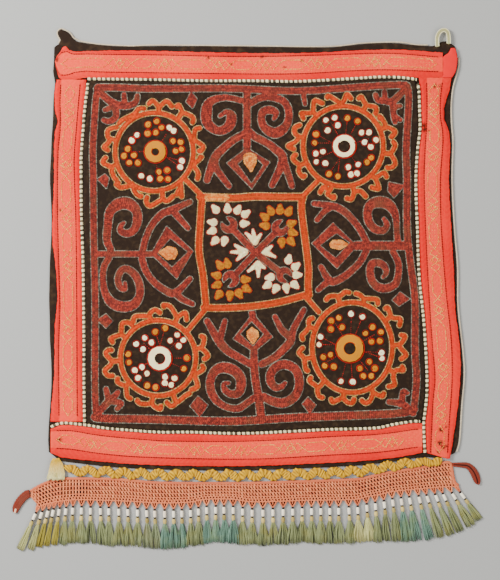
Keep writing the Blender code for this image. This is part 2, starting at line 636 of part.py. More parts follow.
def make_fringe():
    """Make the strip of teeth with its strings, heads and locks of yarn, level on the surface."""
    random.seed(FRINGE_SEED)
    valley = line_through(VALLEY_LINE)
    place = line_through(STRING_PLACES)
    lean = line_through(STRING_LEAN)
    reach = line_through(TASSEL_LENGTH)
    shape = bmesh.new()

    def column(x, y, height):
        return (shape.verts.new((x, y, 0.0)), shape.verts.new((x, y, height)))

    def wall(first, second):
        shape.faces.new((first[0], second[0], second[1], first[1]))

    def ladder(near, far):
        """Join a row of columns to the next row with upper and lower faces."""
        for (a, b), (c, d) in zip(zip(near, near[1:]), zip(far, far[1:])):
            shape.faces.new((a[1], b[1], d[1], c[1]))
            shape.faces.new((a[0], c[0], d[0], b[0]))

    def tube(near, far):
        """Join two open rows of two columns with all four faces."""
        ladder(near, far)
        wall(near[0], far[0])
        wall(near[1], far[1])

    centres = [place(i) + random.uniform(-PLACE_JITTER, PLACE_JITTER) for i in range(STRING_COUNT)]
    row_x = [STRIP_START]
    for i, centre in enumerate(centres):
        before = centre - centres[i - 1] if i > 0 else END_SPACING
        after = centres[i + 1] - centre if i < STRING_COUNT - 1 else END_SPACING
        half = 0.5 * TOOTH_SHARE * min(before, after)
        row_x += [centre - half, centre + half]
    row_x.append(STRIP_END)
    upper = [column(x, valley(x) + STRIP_HEIGHT, STRIP_THICKNESS) for x in row_x]
    lower = [column(x, valley(x), STRIP_THICKNESS) for x in row_x]
    ladder(upper, lower)
    for first, second in zip(upper, upper[1:]):
        wall(first, second)
    wall(upper[0], lower[0])
    wall(upper[-1], lower[-1])
    for k in range(0, len(lower) - 1, 2):
        wall(lower[k], lower[k + 1])

    for i, centre in enumerate(centres):
        root = [lower[2 * i + 1], lower[2 * i + 2]]
        slant = lean(centre) + random.uniform(-LEAN_JITTER, LEAN_JITTER)
        run = math.hypot(slant, 1.0)
        down = (slant / run, -1.0 / run)
        side = (1.0 / run, slant / run)
        start = (centre, valley(centre))
        gap_left = centre - centres[i - 1] if i > 0 else WIDEST_SKIRT_PITCH
        gap_right = centres[i + 1] - centre if i < STRING_COUNT - 1 else WIDEST_SKIRT_PITCH
        pitch = min(gap_left, gap_right, WIDEST_SKIRT_PITCH)

        def station(distance, offset, height):
            return column(start[0] + down[0] * distance + side[0] * offset,
                          start[1] + down[1] * distance + side[1] * offset, height)

        half_string = 0.5 * STRING_WIDTH
        tip = [station(TOOTH_LENGTH, -half_string, STRIP_THICKNESS),
               station(TOOTH_LENGTH, half_string, STRIP_THICKNESS)]
        neck = [station(TOOTH_LENGTH + STRING_LENGTH, -half_string, STRIP_THICKNESS),
                station(TOOTH_LENGTH + STRING_LENGTH, half_string, STRIP_THICKNESS)]
        tube(root, tip)
        tube(tip, neck)
        head_end = TOOTH_LENGTH + STRING_LENGTH + HEAD_LENGTH
        head = []
        for k in range(LOCKS_PER_TASSEL + 1):
            across = k / LOCKS_PER_TASSEL - 0.5
            bulge = STRIP_THICKNESS + (HEAD_HEIGHT - STRIP_THICKNESS) * (1.0 - (2.0 * across)**2)
            head.append(station(head_end, across * HEAD_WIDTH, bulge))
        middle = len(head) // 2
        for level in (0, 1):
            for k in range(len(head) - 1):
                pivot = neck[0] if k < middle else neck[1]
                shape.faces.new((pivot[level], head[k][level], head[k + 1][level]))
            shape.faces.new((neck[0][level], neck[1][level], head[middle][level]))
        wall(neck[0], head[0])
        wall(neck[1], head[-1])
        length = reach(centre) + random.uniform(-LENGTH_JITTER, LENGTH_JITTER)
        skirt = SKIRT_SHARE * pitch
        share = skirt / LOCKS_PER_TASSEL
        for k in range(LOCKS_PER_TASSEL):
            offset = (k - 0.5 * (LOCKS_PER_TASSEL - 1)) * share
            end = length - SKIRT_ARC * abs(offset) + random.uniform(-TIP_JITTER, TIP_JITTER)
            half_tip = 0.5 * LOCK_TIP_SHARE * share
            tips = [station(end, offset - half_tip, LOCK_TIP_HEIGHT),
                    station(end, offset + half_tip, LOCK_TIP_HEIGHT)]
            tube([head[k], head[k + 1]], tips)
            wall(tips[0], tips[1])
    keep_mesh("tassel_fringe", shape, COLOURS["tassel_fringe"])


clear_scene()
make_back_cloth()
make_centre_felt()
make_border()
make_edging()
make_edge_cords()
make_loop_and_ties()
make_ribbon()
make_net_band()
make_fringe()
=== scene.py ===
# %% [markdown]
# # Embroidered felt panel
# A square panel of dark felt is covered with chain stitch scrolls and rosettes. A quilted red cotton
# border frames it, and a zigzag ribbon, a netted band and a beaded fringe are sewn along its lower
# edge. The panel lies face up. The CAD frame gives the size and place of every piece, so it is loaded
# first, and the scene that Blender starts with is emptied.

# %% Load the frame
import json
import random
from math import cos, dist, hypot, pi, sin

import bmesh
import bpy
import numpy as np
from mathutils import Vector
from mathutils.bvhtree import BVHTree
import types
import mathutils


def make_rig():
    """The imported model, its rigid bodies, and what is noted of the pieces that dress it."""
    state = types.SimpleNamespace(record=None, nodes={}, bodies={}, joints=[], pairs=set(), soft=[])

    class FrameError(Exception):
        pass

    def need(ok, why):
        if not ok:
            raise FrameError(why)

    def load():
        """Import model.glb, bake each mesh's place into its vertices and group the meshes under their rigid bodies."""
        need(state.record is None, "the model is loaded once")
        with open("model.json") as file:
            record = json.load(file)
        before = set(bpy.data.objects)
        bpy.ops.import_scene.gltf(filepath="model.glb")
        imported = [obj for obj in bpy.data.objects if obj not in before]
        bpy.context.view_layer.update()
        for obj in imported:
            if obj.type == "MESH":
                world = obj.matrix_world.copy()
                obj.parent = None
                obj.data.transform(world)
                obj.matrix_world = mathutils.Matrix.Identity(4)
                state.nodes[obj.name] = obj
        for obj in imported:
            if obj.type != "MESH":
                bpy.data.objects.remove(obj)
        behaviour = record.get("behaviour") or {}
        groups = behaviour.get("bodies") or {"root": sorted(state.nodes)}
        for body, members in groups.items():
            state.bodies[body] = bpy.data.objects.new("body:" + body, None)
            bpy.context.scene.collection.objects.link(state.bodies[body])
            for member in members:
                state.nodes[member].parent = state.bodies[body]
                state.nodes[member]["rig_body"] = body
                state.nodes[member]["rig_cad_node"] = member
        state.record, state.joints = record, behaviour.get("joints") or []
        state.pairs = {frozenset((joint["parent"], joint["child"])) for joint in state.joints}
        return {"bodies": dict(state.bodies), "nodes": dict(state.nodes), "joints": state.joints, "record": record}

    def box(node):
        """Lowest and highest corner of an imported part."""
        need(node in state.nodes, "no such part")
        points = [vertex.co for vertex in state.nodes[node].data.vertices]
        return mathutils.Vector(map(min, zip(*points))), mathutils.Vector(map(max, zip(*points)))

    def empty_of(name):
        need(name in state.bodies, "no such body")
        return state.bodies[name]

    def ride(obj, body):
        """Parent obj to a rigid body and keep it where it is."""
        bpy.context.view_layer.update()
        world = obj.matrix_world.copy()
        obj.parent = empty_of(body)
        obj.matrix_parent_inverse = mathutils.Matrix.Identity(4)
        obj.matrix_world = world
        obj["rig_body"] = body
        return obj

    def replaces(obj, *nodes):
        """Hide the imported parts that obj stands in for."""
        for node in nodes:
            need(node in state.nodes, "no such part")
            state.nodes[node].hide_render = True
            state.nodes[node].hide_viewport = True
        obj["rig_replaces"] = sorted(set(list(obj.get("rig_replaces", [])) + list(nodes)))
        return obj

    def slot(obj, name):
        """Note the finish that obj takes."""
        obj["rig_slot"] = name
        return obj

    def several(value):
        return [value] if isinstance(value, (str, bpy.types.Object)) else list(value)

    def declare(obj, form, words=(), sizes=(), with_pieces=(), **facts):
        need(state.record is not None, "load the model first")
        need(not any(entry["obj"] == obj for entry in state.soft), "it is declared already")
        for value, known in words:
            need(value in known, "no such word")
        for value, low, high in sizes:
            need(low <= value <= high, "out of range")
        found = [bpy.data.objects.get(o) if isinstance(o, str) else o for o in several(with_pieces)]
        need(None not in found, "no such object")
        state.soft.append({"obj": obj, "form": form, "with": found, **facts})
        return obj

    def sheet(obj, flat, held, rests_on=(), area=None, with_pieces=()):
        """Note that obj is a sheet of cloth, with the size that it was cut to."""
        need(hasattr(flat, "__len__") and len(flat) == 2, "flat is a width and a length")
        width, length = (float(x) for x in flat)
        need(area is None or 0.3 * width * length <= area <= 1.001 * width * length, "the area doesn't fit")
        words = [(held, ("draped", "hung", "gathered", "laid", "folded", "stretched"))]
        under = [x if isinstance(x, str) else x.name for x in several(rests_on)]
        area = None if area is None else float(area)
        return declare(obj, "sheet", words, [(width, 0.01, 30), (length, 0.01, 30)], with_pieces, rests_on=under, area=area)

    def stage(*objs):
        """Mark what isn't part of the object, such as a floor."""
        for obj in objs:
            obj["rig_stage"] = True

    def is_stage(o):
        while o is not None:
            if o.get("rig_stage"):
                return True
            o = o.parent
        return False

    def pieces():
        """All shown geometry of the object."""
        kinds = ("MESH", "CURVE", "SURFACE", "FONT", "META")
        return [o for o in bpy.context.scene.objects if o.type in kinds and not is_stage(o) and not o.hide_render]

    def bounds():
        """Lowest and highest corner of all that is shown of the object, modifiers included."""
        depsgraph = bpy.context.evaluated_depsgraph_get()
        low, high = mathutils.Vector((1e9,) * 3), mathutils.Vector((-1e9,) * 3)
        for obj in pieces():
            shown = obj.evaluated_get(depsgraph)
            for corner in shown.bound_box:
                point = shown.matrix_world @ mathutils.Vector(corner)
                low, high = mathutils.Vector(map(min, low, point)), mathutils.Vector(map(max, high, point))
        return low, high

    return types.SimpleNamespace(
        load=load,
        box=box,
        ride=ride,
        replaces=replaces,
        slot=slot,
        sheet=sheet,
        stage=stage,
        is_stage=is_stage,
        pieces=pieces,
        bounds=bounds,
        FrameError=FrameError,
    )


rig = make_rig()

MM = 0.001
PIXEL_MM = 1.25
MIDDLE_PX = (255.0, 253.0)
draw = random.uniform

for old in list(bpy.data.objects):
    bpy.data.objects.remove(old, do_unlink=True)
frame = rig.load()
print("frame bounds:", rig.bounds())


# %% [markdown]
# Small helpers come first. Tables of the outlines hold millimetres, and tables of the motifs hold the
# photo's pixels, which one scale turns into millimetres. Each helper does one job, so that the later
# cells stay short.

# %% Helpers for lines and places
def from_photo(points):
    """Turn photo pixels into millimetres in the panel's plane."""
    return [((px - MIDDLE_PX[0]) * PIXEL_MM, (MIDDLE_PX[1] - py) * PIXEL_MM) for px, py in points]


def line_through(rows):
    """Return a smooth function through (place, distance) rows, in either order."""
    rows = sorted(rows)
    places = [row[0] for row in rows]
    values = [row[1] for row in rows]

    def slope(index):
        low = max(index - 1, 0)
        high = min(index + 1, len(rows) - 1)
        return (values[high] - values[low]) / (places[high] - places[low])

    def value_at(place):
        place = min(max(place, places[0]), places[-1])
        index = 0
        while index < len(rows) - 2 and place > places[index + 1]:
            index += 1
        span = places[index + 1] - places[index]
        t = (place - places[index]) / span
        start_pull = (2 * t**3 - 3 * t**2 + 1) * values[index]
        start_turn = (t**3 - 2 * t**2 + t) * span * slope(index)
        end_pull = (3 * t**2 - 2 * t**3) * values[index + 1]
        end_turn = (t**3 - t**2) * span * slope(index + 1)
        return start_pull + start_turn + end_pull + end_turn

    return value_at


def smooth_points(points, parts):
    """Return points on a smooth curve that passes through all the given points."""
    result = []
    for i in range(len(points) - 1):
        before = points[max(i - 1, 0)]
        here = points[i]
        there = points[i + 1]
        after = points[min(i + 2, len(points) - 1)]
        for k in range(parts):
            t = k / parts
            result.append(tuple(
                0.5 * (2 * b + (c - a) * t + (2 * a - 5 * b + 4 * c - d) * t**2
                       + (3 * b - a - 3 * c + d) * t**3)
                for a, b, c, d in zip(before, here, there, after)))
    result.append(tuple(points[-1]))
    return result


def even_points(points, step):
    """Return points about one step apart along a line."""
    data = np.array(points, float)
    runs = np.linalg.norm(np.diff(data, axis=0), axis=1)
    lengths = np.concatenate(([0.0], np.cumsum(runs)))
    count = max(2, int(round(lengths[-1] / step)) + 1)
    stops = np.linspace(0.0, lengths[-1], count)
    columns = [np.interp(stops, lengths, data[:, i]) for i in range(data.shape[1])]
    return np.stack(columns, axis=1)


def wobble(x, y, size):
    """Return a gentle unevenness from -1 to 1, with waves as wide as the size says."""
    first = sin(0.31 * x / size + 1.3 * sin(0.17 * y / size))
    second = sin(0.27 * y / size + 1.1 * sin(0.13 * x / size + 2.0))
    return 0.5 * (first + second)


print("one photo pixel is", PIXEL_MM, "mm")


# %% [markdown]
# The mesh helper collects rings of points and joins them with faces. Every thread, bead and strip of
# cloth is a closed body made this way, so its faces can be turned outwards together at the end. Each
# point carries a tone, a number that the materials use to vary the colour from thread to thread, and
# that the ribbon and the tassel yarns also use for painted shade.

# %% Helpers for meshes
LOBE_DEPTH = 0.16
TIP_REACH = 0.4
TIP_WIDTH = 0.45
TINY = 1e-9


def add_object(name, data):
    """Put an object with some data into the scene, at the origin."""
    made = bpy.data.objects.new(name, data)
    bpy.context.scene.collection.objects.link(made)
    return made


def add_numbers(piece, name, values):
    """Give every point of a piece a number that the materials can read."""
    numbers = piece.data.attributes.new(name, "FLOAT", "POINT")
    numbers.data.foreach_set("value", np.array(values, np.float32))


class Shape:
    """Points in millimetres, faces and tones of one piece that is being made."""

    def __init__(self):
        self.points = []
        self.faces = []
        self.tones = []

    def rings(self, rings, tone=0.5, tones=None):
        """Join closed rings of equal length into one body with closed ends."""
        start = len(self.points)
        size = len(rings[0])
        for i, ring in enumerate(rings):
            self.points.extend(tuple(point) for point in ring)
            ring_tone = tone if tones is None else tones[i]
            self.tones.extend(ring_tone if np.ndim(ring_tone) else [ring_tone] * size)
        for i in range(len(rings) - 1):
            base = start + i * size
            for k in range(size):
                n = (k + 1) % size
                self.faces.append((base + k, base + n, base + size + n, base + size + k))
        last = start + (len(rings) - 1) * size
        self.faces.append(tuple(range(start + size - 1, start - 1, -1)))
        self.faces.append(tuple(range(last, last + size)))

    def tube(self, path, radius, sides=6, tone=0.5, flat=1.0, lobes=0, twist=0.0, ends=True,
             tones=None):
        """Sweep a round or lobed section along a line of (x, y, z) points."""
        path = np.array(path, float)
        count = len(path)
        radii = np.full(count, radius) if np.isscalar(radius) else np.array(radius, float)
        tangents = np.gradient(path, axis=0)
        tangents /= np.maximum(np.linalg.norm(tangents, axis=1), TINY)[:, None]
        sides_xy = np.stack([-tangents[:, 1], tangents[:, 0], np.zeros(count)], axis=1)
        norms = np.linalg.norm(sides_xy, axis=1)
        sides_xy[norms < 1e-6] = (1.0, 0.0, 0.0)
        sides_xy /= np.maximum(np.linalg.norm(sides_xy, axis=1), TINY)[:, None]
        ups = np.cross(tangents, sides_xy)
        runs = np.concatenate(([0.0], np.cumsum(np.linalg.norm(np.diff(path, axis=0), axis=1))))
        angles = np.linspace(0.0, 2 * pi, sides, endpoint=False)
        rings = []
        for i in range(count):
            swell = 1.0 + (LOBE_DEPTH * np.cos(lobes * (angles - twist * runs[i])) if lobes else 0.0)
            across = radii[i] * np.cos(angles) * swell
            above = radii[i] * flat * np.sin(angles) * swell
            rings.append(path[i] + sides_xy[i] * across[:, None] + ups[i] * above[:, None])
        if ends:
            tip = TIP_REACH * radii[0]
            first = path[0] - tangents[0] * tip + TIP_WIDTH * (rings[0] - path[0])
            last = path[-1] + tangents[-1] * tip + TIP_WIDTH * (rings[-1] - path[-1])
            rings = [first, *rings, last]
            tones = None if tones is None else [tones[0], *tones, tones[-1]]
        self.rings(rings, tone, tones)

    def make(self, name, material):
        """Turn the collected points into an object in metres, with its faces outwards."""
        mesh = bpy.data.meshes.new(name)
        scaled = (np.array(self.points, float) * MM).tolist()
        mesh.from_pydata(scaled, [], self.faces)
        made = add_object(name, mesh)
        add_numbers(made, "tone", self.tones)
        work = bmesh.new()
        work.from_mesh(mesh)
        bmesh.ops.recalc_face_normals(work, faces=work.faces)
        work.to_mesh(mesh)
        work.free()
        mesh.polygons.foreach_set("use_smooth", [True] * len(mesh.polygons))
        mesh.materials.append(material)
        return made


def triangles_of(piece):
    """Return how many triangles a piece has."""
    return sum(len(face.vertices) - 2 for face in piece.data.polygons)


def settle(piece, slot_name, *nodes):
    """Tie a finished piece to the frame's body, its slot and the CAD nodes that it stands for."""
    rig.ride(piece, "root")
    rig.slot(piece, slot_name)
    if nodes:
        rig.replaces(piece, *nodes)
    print(piece.name, triangles_of(piece), "triangles")
    return piece


print("mesh helpers are ready")


# %% [markdown]
# Wool and cotton scatter light softly, so every material is a matt shader with a little sheen. Fine
# noise makes the fibres, wide noise makes the worn and faded patches, and the tone of each thread
# moves its colour between a dark and a light value.

# %% Materials for thread and cloth
DEPTH_POWER = 2.75
VIVID = 1.3
SHINE = 0.12
FIBRE_DEPTH = 0.0004
FIBRE_GAIN = 0.5
TONE_GAIN = 0.9
TONE_START = -0.2
WORN_FROM = 0.48
WORN_TO = 0.72


def screen_colour(red, green, blue):
    """Return a linear colour for 0 to 255 values, deeper and more vivid than they look."""
    linear = [((value / 255.0 + 0.055) / 1.055)**DEPTH_POWER for value in (red, green, blue)]
    grey = sum(linear) / 3.0
    return tuple(min(0.95, max(0.002, grey + VIVID * (value - grey))) for value in linear) + (1.0,)


def wire(tree, node, inputs):
    """Give a node's inputs their values or their links, and return the node."""
    for title, value in inputs.items():
        if isinstance(value, bpy.types.NodeSocket):
            tree.links.new(value, node.inputs[title])
        else:
            node.inputs[title].default_value = value
    return node


def worked_out(tree, operation, *values):
    """Add a math node with its values or links, and return its result."""
    node = tree.nodes.new("ShaderNodeMath")
    node.operation = operation
    return wire(tree, node, dict(enumerate(values))).outputs["Value"]


def blended(tree, share, first, second):
    """Add a node that blends two colours by a share, and return the blend."""
    node = tree.nodes.new("ShaderNodeMix")
    node.data_type = "RGBA"
    return wire(tree, node, {"Factor": share, "A": first, "B": second}).outputs["Result"]


def number_read(tree, name):
    """Add a node that reads a piece's own numbers, and return them."""
    node = tree.nodes.new("ShaderNodeAttribute")
    node.attribute_name = name
    return node.outputs["Fac"]


def between(tree, value, low, high, top=1.0):
    """Add a node that rises from 0 to the top value between two values, and return its result."""
    inputs = {"Value": value, "From Min": low, "From Max": high, "To Max": top}
    return wire(tree, tree.nodes.new("ShaderNodeMapRange"), inputs).outputs["Result"]


def thread_material(name, dark, light, worn, worn_share=0.35, patch=28.0, grain=1400.0, bump=0.25,
                    roughness=0.85, sheen=0.03):
    """Return a matt material whose colour runs from dark to light with the thread's tone."""
    material = bpy.data.materials.new(name)
    material.use_nodes = True
    tree = material.node_tree
    places = tree.nodes.new("ShaderNodeTexCoord").outputs["Object"]
    noises = []
    for scale, detail in ((grain, 2.0), (patch, 3.0)):
        noise = tree.nodes.new("ShaderNodeTexNoise")
        wire(tree, noise, {"Scale": scale, "Detail": detail, "Vector": places})
        noises.append(noise.outputs["Fac"])
    fibres, patches = noises
    tone = worked_out(tree, "MULTIPLY_ADD", number_read(tree, "tone"), TONE_GAIN, TONE_START)
    share = worked_out(tree, "MULTIPLY_ADD", fibres, FIBRE_GAIN, tone)
    fresh = blended(tree, share, screen_colour(*dark), screen_colour(*light))
    wear = between(tree, patches, WORN_FROM, WORN_TO, worn_share)
    relief = tree.nodes.new("ShaderNodeBump")
    wire(tree, relief, {"Strength": bump, "Distance": FIBRE_DEPTH, "Height": fibres})
    wire(tree, tree.nodes["Principled BSDF"], {
        "Base Color": blended(tree, wear, fresh, screen_colour(*worn)), "Normal": relief.outputs["Normal"],
        "Roughness": roughness, "Sheen Weight": sheen, "Specular IOR Level": SHINE,
    })
    return material


def paint_over(material, share, colour):
    """Lay a colour over a material's own colour, as strongly as the share says."""
    tree = material.node_tree
    shader = tree.nodes["Principled BSDF"]
    below = shader.inputs["Base Color"].links[0].from_socket
    wire(tree, shader, {"Base Color": blended(tree, share, below, screen_colour(*colour))})


FELT = thread_material("dark_felt", (20, 15, 12), (58, 44, 35), (86, 70, 54), worn_share=0.4,
                       patch=120.0, bump=0.6)
PALE_CORD = thread_material("pale_cord", (150, 138, 122), (222, 210, 190), (120, 105, 90))
LOOP_THREAD = thread_material("loop_thread", (150, 146, 108), (226, 220, 190), (120, 112, 80))
WHIP = thread_material("whip_thread", (16, 11, 10), (255, 236, 202), (200, 150, 125),
                       worn_share=0.15, patch=60.0)
print("materials:", len(bpy.data.materials))


# %% [markdown]
# Chain stitch, whipping and running stitch all repeat one small thread shape along a line. One Geometry
# Nodes tree does this for every piece: it spaces points along the drawn lines, sets a thread on each
# point, turns it along the line and gives it a tone. Its named inputs are set for each piece.

# %% Geometry Nodes tree for rows of stitches
STITCH_SOCKETS = {
    "Lines": "Geometry", "Thread": "Object", "Spacing": "Float", "Size Low": "Float", "Size High": "Float",
    "Stripe Count": "Float", "Stripe Share": "Float", "Stripe Amount": "Float", "Seed": "Int",
    "Material": "Material",
}


def make_stitch_tree():
    """Build the tree that sets threads along lines, and return it with its inputs' identifiers."""
    tree = bpy.data.node_groups.new("stitch_rows", "GeometryNodeTree")
    sockets = {}
    for title, kind in STITCH_SOCKETS.items():
        made = tree.interface.new_socket(name=title, in_out="INPUT", socket_type="NodeSocket" + kind)
        sockets[title] = made.identifier
    tree.interface.new_socket(name="Stitches", in_out="OUTPUT", socket_type="NodeSocketGeometry")
    new = tree.nodes.new
    given = new("NodeGroupInput").outputs

    # The lines become curves with a point at every stitch, and each point gets a thread.
    curve = wire(tree, new("GeometryNodeMeshToCurve"), {"Mesh": given["Lines"]})
    even = new("GeometryNodeResampleCurve")
    even.mode = "LENGTH"
    wire(tree, even, {"Curve": curve.outputs["Curve"], "Length": given["Spacing"]})
    turn = new("FunctionNodeAlignRotationToVector")
    turn.axis = "X"
    turn.pivot_axis = "Z"
    wire(tree, turn, {"Vector": new("GeometryNodeInputTangent").outputs["Tangent"]})
    thread = wire(tree, new("GeometryNodeObjectInfo"), {"Object": given["Thread"]})
    size = wire(tree, new("FunctionNodeRandomValue"), {
        2: given["Size Low"], 3: given["Size High"], "Seed": given["Seed"],
    })
    setter = wire(tree, new("GeometryNodeInstanceOnPoints"), {
        "Points": even.outputs["Curve"], "Instance": thread.outputs["Geometry"],
        "Rotation": turn.outputs["Rotation"], "Scale": size.outputs[1],
    })

    # The tone is random, or high and low in turns where the row is striped.
    chance = wire(tree, new("FunctionNodeRandomValue"), {"Seed": given["Seed"]}).outputs[1]
    index = new("GeometryNodeInputIndex").outputs["Index"]
    turns = worked_out(tree, "DIVIDE", index, given["Stripe Count"])
    stripe = worked_out(tree, "LESS_THAN", worked_out(tree, "FRACT", turns), given["Stripe Share"])
    striped = worked_out(tree, "MULTIPLY", stripe, given["Stripe Amount"])
    rest = worked_out(tree, "SUBTRACT", 1.0, given["Stripe Amount"])
    tone = worked_out(tree, "ADD", striped, worked_out(tree, "MULTIPLY", chance, rest))
    store = new("GeometryNodeStoreNamedAttribute")
    store.data_type = "FLOAT"
    store.domain = "INSTANCE"
    wire(tree, store, {"Geometry": setter.outputs["Instances"], "Name": "tone", "Value": tone})
    realize = wire(tree, new("GeometryNodeRealizeInstances"), {"Geometry": store.outputs["Geometry"]})
    paint = wire(tree, new("GeometryNodeSetMaterial"), {
        "Geometry": realize.outputs["Geometry"], "Material": given["Material"],
    })
    wire(tree, new("NodeGroupOutput"), {"Stitches": paint.outputs["Geometry"]})
    return tree, sockets


STITCH_TREE, STITCH_INPUTS = make_stitch_tree()


def lines_object(name, lines):
    """Make a mesh of bare edges from lines of (x, y, z) points in millimetres."""
    points = []
    edges = []
    for line in lines:
        start = len(points)
        points.extend((float(x) * MM, float(y) * MM, float(z) * MM) for x, y, z in line)
        edges.extend((k, k + 1) for k in range(start, len(points) - 1))
    mesh = bpy.data.meshes.new(name)
    mesh.from_pydata(points, edges, [])
    return add_object(name, mesh)


def sew(name, lines, thread, material, spacing, size, seed, stripe=(1.0, 0.0, 0.0)):
    """Set threads along the lines with the tree, and return them as one plain mesh."""
    rows = lines if isinstance(lines, bpy.types.Object) else lines_object(name + "_lines", lines)
    modifier = rows.modifiers.new("rows", "NODES")
    modifier.node_group = STITCH_TREE
    settings = {
        "Thread": thread, "Spacing": spacing * MM, "Size Low": size[0], "Size High": size[1],
        "Stripe Count": stripe[0], "Stripe Share": stripe[1], "Stripe Amount": stripe[2],
        "Seed": seed, "Material": material,
    }
    for title, value in settings.items():
        modifier[STITCH_INPUTS[title]] = value
    bpy.context.view_layer.update()
    graph = bpy.context.evaluated_depsgraph_get()
    mesh = bpy.data.meshes.new_from_object(rows.evaluated_get(graph), depsgraph=graph)
    mesh.name = name
    bpy.data.objects.remove(rows, do_unlink=True)
    return add_object(name, mesh)


print("tree inputs:", sorted(STITCH_INPUTS))


# %% [markdown]
# The threads that the tree repeats are made once. A chain stitch is a flat loop of two strands that
# lean against each other. A running stitch is one short strand, and a whip stitch is an arch over a
# cord. Thousands of them are sewn, so a strand is a spindle of very few faces, closed at both ends.

# %% Thread shapes
ARCH_POINTS = 5
ARCH_DIP = 0.08


def add_strand(shape, path, half, sides, flat=1.0):
    """Add one closed strand through three points, thick in its middle and pointed at both ends."""
    start, middle, stop = (np.array(place, float) for place in path)
    along = (stop - start) / np.linalg.norm(stop - start)
    side = np.cross((0.0, 0.0, 1.0), along)
    side /= np.linalg.norm(side)
    up = np.cross(along, side)
    first = len(shape.points)
    shape.points.append(tuple(start))
    for k in range(sides):
        angle = 0.5 * pi + 2 * pi * k / sides
        out = side * cos(angle) + up * flat * sin(angle)
        shape.points.append(tuple(middle + half * out))
    shape.points.append(tuple(stop))
    shape.tones.extend([0.5] * (sides + 2))
    last = first + sides + 1
    for k in range(sides):
        here = first + 1 + k
        beside = first + 1 + (k + 1) % sides
        shape.faces.append((beside, here, first))
        shape.faces.append((here, beside, last))


def chain_stitch(name, length, width, thick):
    """Make one chain stitch, two slanted strands that meet at the front."""
    shape = Shape()
    for side in (-1, 1):
        path = [(-0.6 * length, side * 0.12 * width, 0.1), (0.0, side * 0.30 * width, 0.4 * thick),
                (0.62 * length, side * 0.06 * width, 0.25 * thick)]
        add_strand(shape, path, 0.36 * width, 3, flat=0.7)
    return shape.make(name, FELT)


def running_stitch(name, length, thick):
    """Make one short strand that dips at both ends."""
    shape = Shape()
    path = [(-0.5 * length, 0.0, -0.1), (0.0, 0.0, 0.35 * thick), (0.5 * length, 0.0, -0.1)]
    add_strand(shape, path, 0.55 * thick, 4)
    return shape.make(name, FELT)


def whip_arch(name, radius, thick, lean):
    """Make one arched strand that goes over a cord, leaning forward."""
    shape = Shape()
    path = []
    for share in np.linspace(0.0, 1.0, ARCH_POINTS):
        angle = pi * (-ARCH_DIP + (1.0 + 2 * ARCH_DIP) * share)
        path.append((lean * (share - 0.5), radius * cos(angle), radius * sin(angle)))
    shape.tube(path, 0.5 * thick, sides=4, ends=False)
    return shape.make(name, FELT)


CHAIN = chain_stitch("thread_chain", length=3.0, width=1.9, thick=0.8)
FINE_CHAIN = chain_stitch("thread_fine_chain", length=2.6, width=1.5, thick=0.7)
RUN = running_stitch("thread_run", length=3.0, thick=0.9)
WHIP_ARCH = whip_arch("thread_whip", radius=1.5, thick=1.2, lean=0.5)
CORD_ARCH = whip_arch("thread_cord_whip", radius=0.8, thick=0.7, lean=1.0)
THREADS = [CHAIN, FINE_CHAIN, RUN, WHIP_ARCH, CORD_ARCH]
for thread in THREADS:
    thread.data.attributes.remove(thread.data.attributes["tone"])
print("thread shapes:", [thread.name for thread in THREADS])


# %% [markdown]
# The backing is one sheet of dark felt. Its outline is read from the CAD piece, because other pieces
# rest on it. Real felt has a soft rounded edge that is never quite straight, so the outline is made
# finer, moved a little in and out, and its rim is rounded in a few steps.

# %% Back cloth
BACK_STEPS = [(0.5, 0.0), (0.0, 0.4), (0.0, 1.3), (0.3, 1.75), (0.9, 2.0), (2.4, 2.05)]  # inset, height
RIM_STEP = 3.0
RIM_WANDER = 0.25
RIM_WAVE = 2.2


def top_outline(node_name, height):
    """Return the ordered (x, y) outline of a flat piece's upper face, in millimetres."""
    work = bmesh.new()
    work.from_mesh(frame["nodes"][node_name].data)
    bmesh.ops.remove_doubles(work, verts=work.verts, dist=1e-6)
    upper = [face for face in work.faces
             if face.normal.z > 0.9 and face.calc_center_median().z > height * MM]
    counts = {}
    for face in upper:
        for edge in face.edges:
            counts[edge] = counts.get(edge, 0) + 1
    rim = {}
    for edge, count in counts.items():
        if count == 1:
            a, b = edge.verts
            rim.setdefault(a.index, []).append(b.index)
            rim.setdefault(b.index, []).append(a.index)
    spots = {vert.index: (vert.co.x / MM, vert.co.y / MM) for vert in work.verts}
    work.free()
    first = next(iter(rim))
    order = [first]
    before = None
    here = first
    while True:
        following = next(other for other in rim[here] if other != before)
        if following == first or len(order) > len(rim):
            break
        order.append(following)
        before = here
        here = following
    return [spots[index] for index in order]


def rounded_sheet(name, outline, steps, material):
    """Make a flat sheet from an outline, with (inset, height) steps from its underside to its top."""
    closed = np.array(list(outline) + [outline[0]], float)
    fine = even_points(closed, RIM_STEP)[:-1]
    if np.sum(fine[:, 0] * np.roll(fine[:, 1], -1) - np.roll(fine[:, 0], -1) * fine[:, 1]) < 0:
        fine = fine[::-1]
    ahead = np.roll(fine, -1, axis=0) - np.roll(fine, 1, axis=0)
    ahead /= np.maximum(np.linalg.norm(ahead, axis=1), TINY)[:, None]
    inward = np.stack([-ahead[:, 1], ahead[:, 0]], axis=1)
    uneven = np.array([RIM_WANDER * wobble(x, y, RIM_WAVE) for x, y in fine])
    rings = []
    for inset, height in steps:
        spots = fine + inward * (inset + uneven[:, None] + RIM_WANDER)
        rings.append(np.column_stack([spots, np.full(len(spots), height)]))
    shape = Shape()
    shape.rings(rings)
    return shape.make(name, material)


back_cloth = rounded_sheet("felt_backing", top_outline("back_cloth", 1.0), BACK_STEPS, FELT)
settle(back_cloth, "dark_felt", "back_cloth")


# %% [markdown]
# The border is four strips of soft red cotton with padding under them. Each strip's sections are read
# from the CAD piece, so the strip keeps its true width, its crowns and its quilting troughs. The new
# surface has fine ridges that run along the strip and small puckers where the quilting pulls it down.

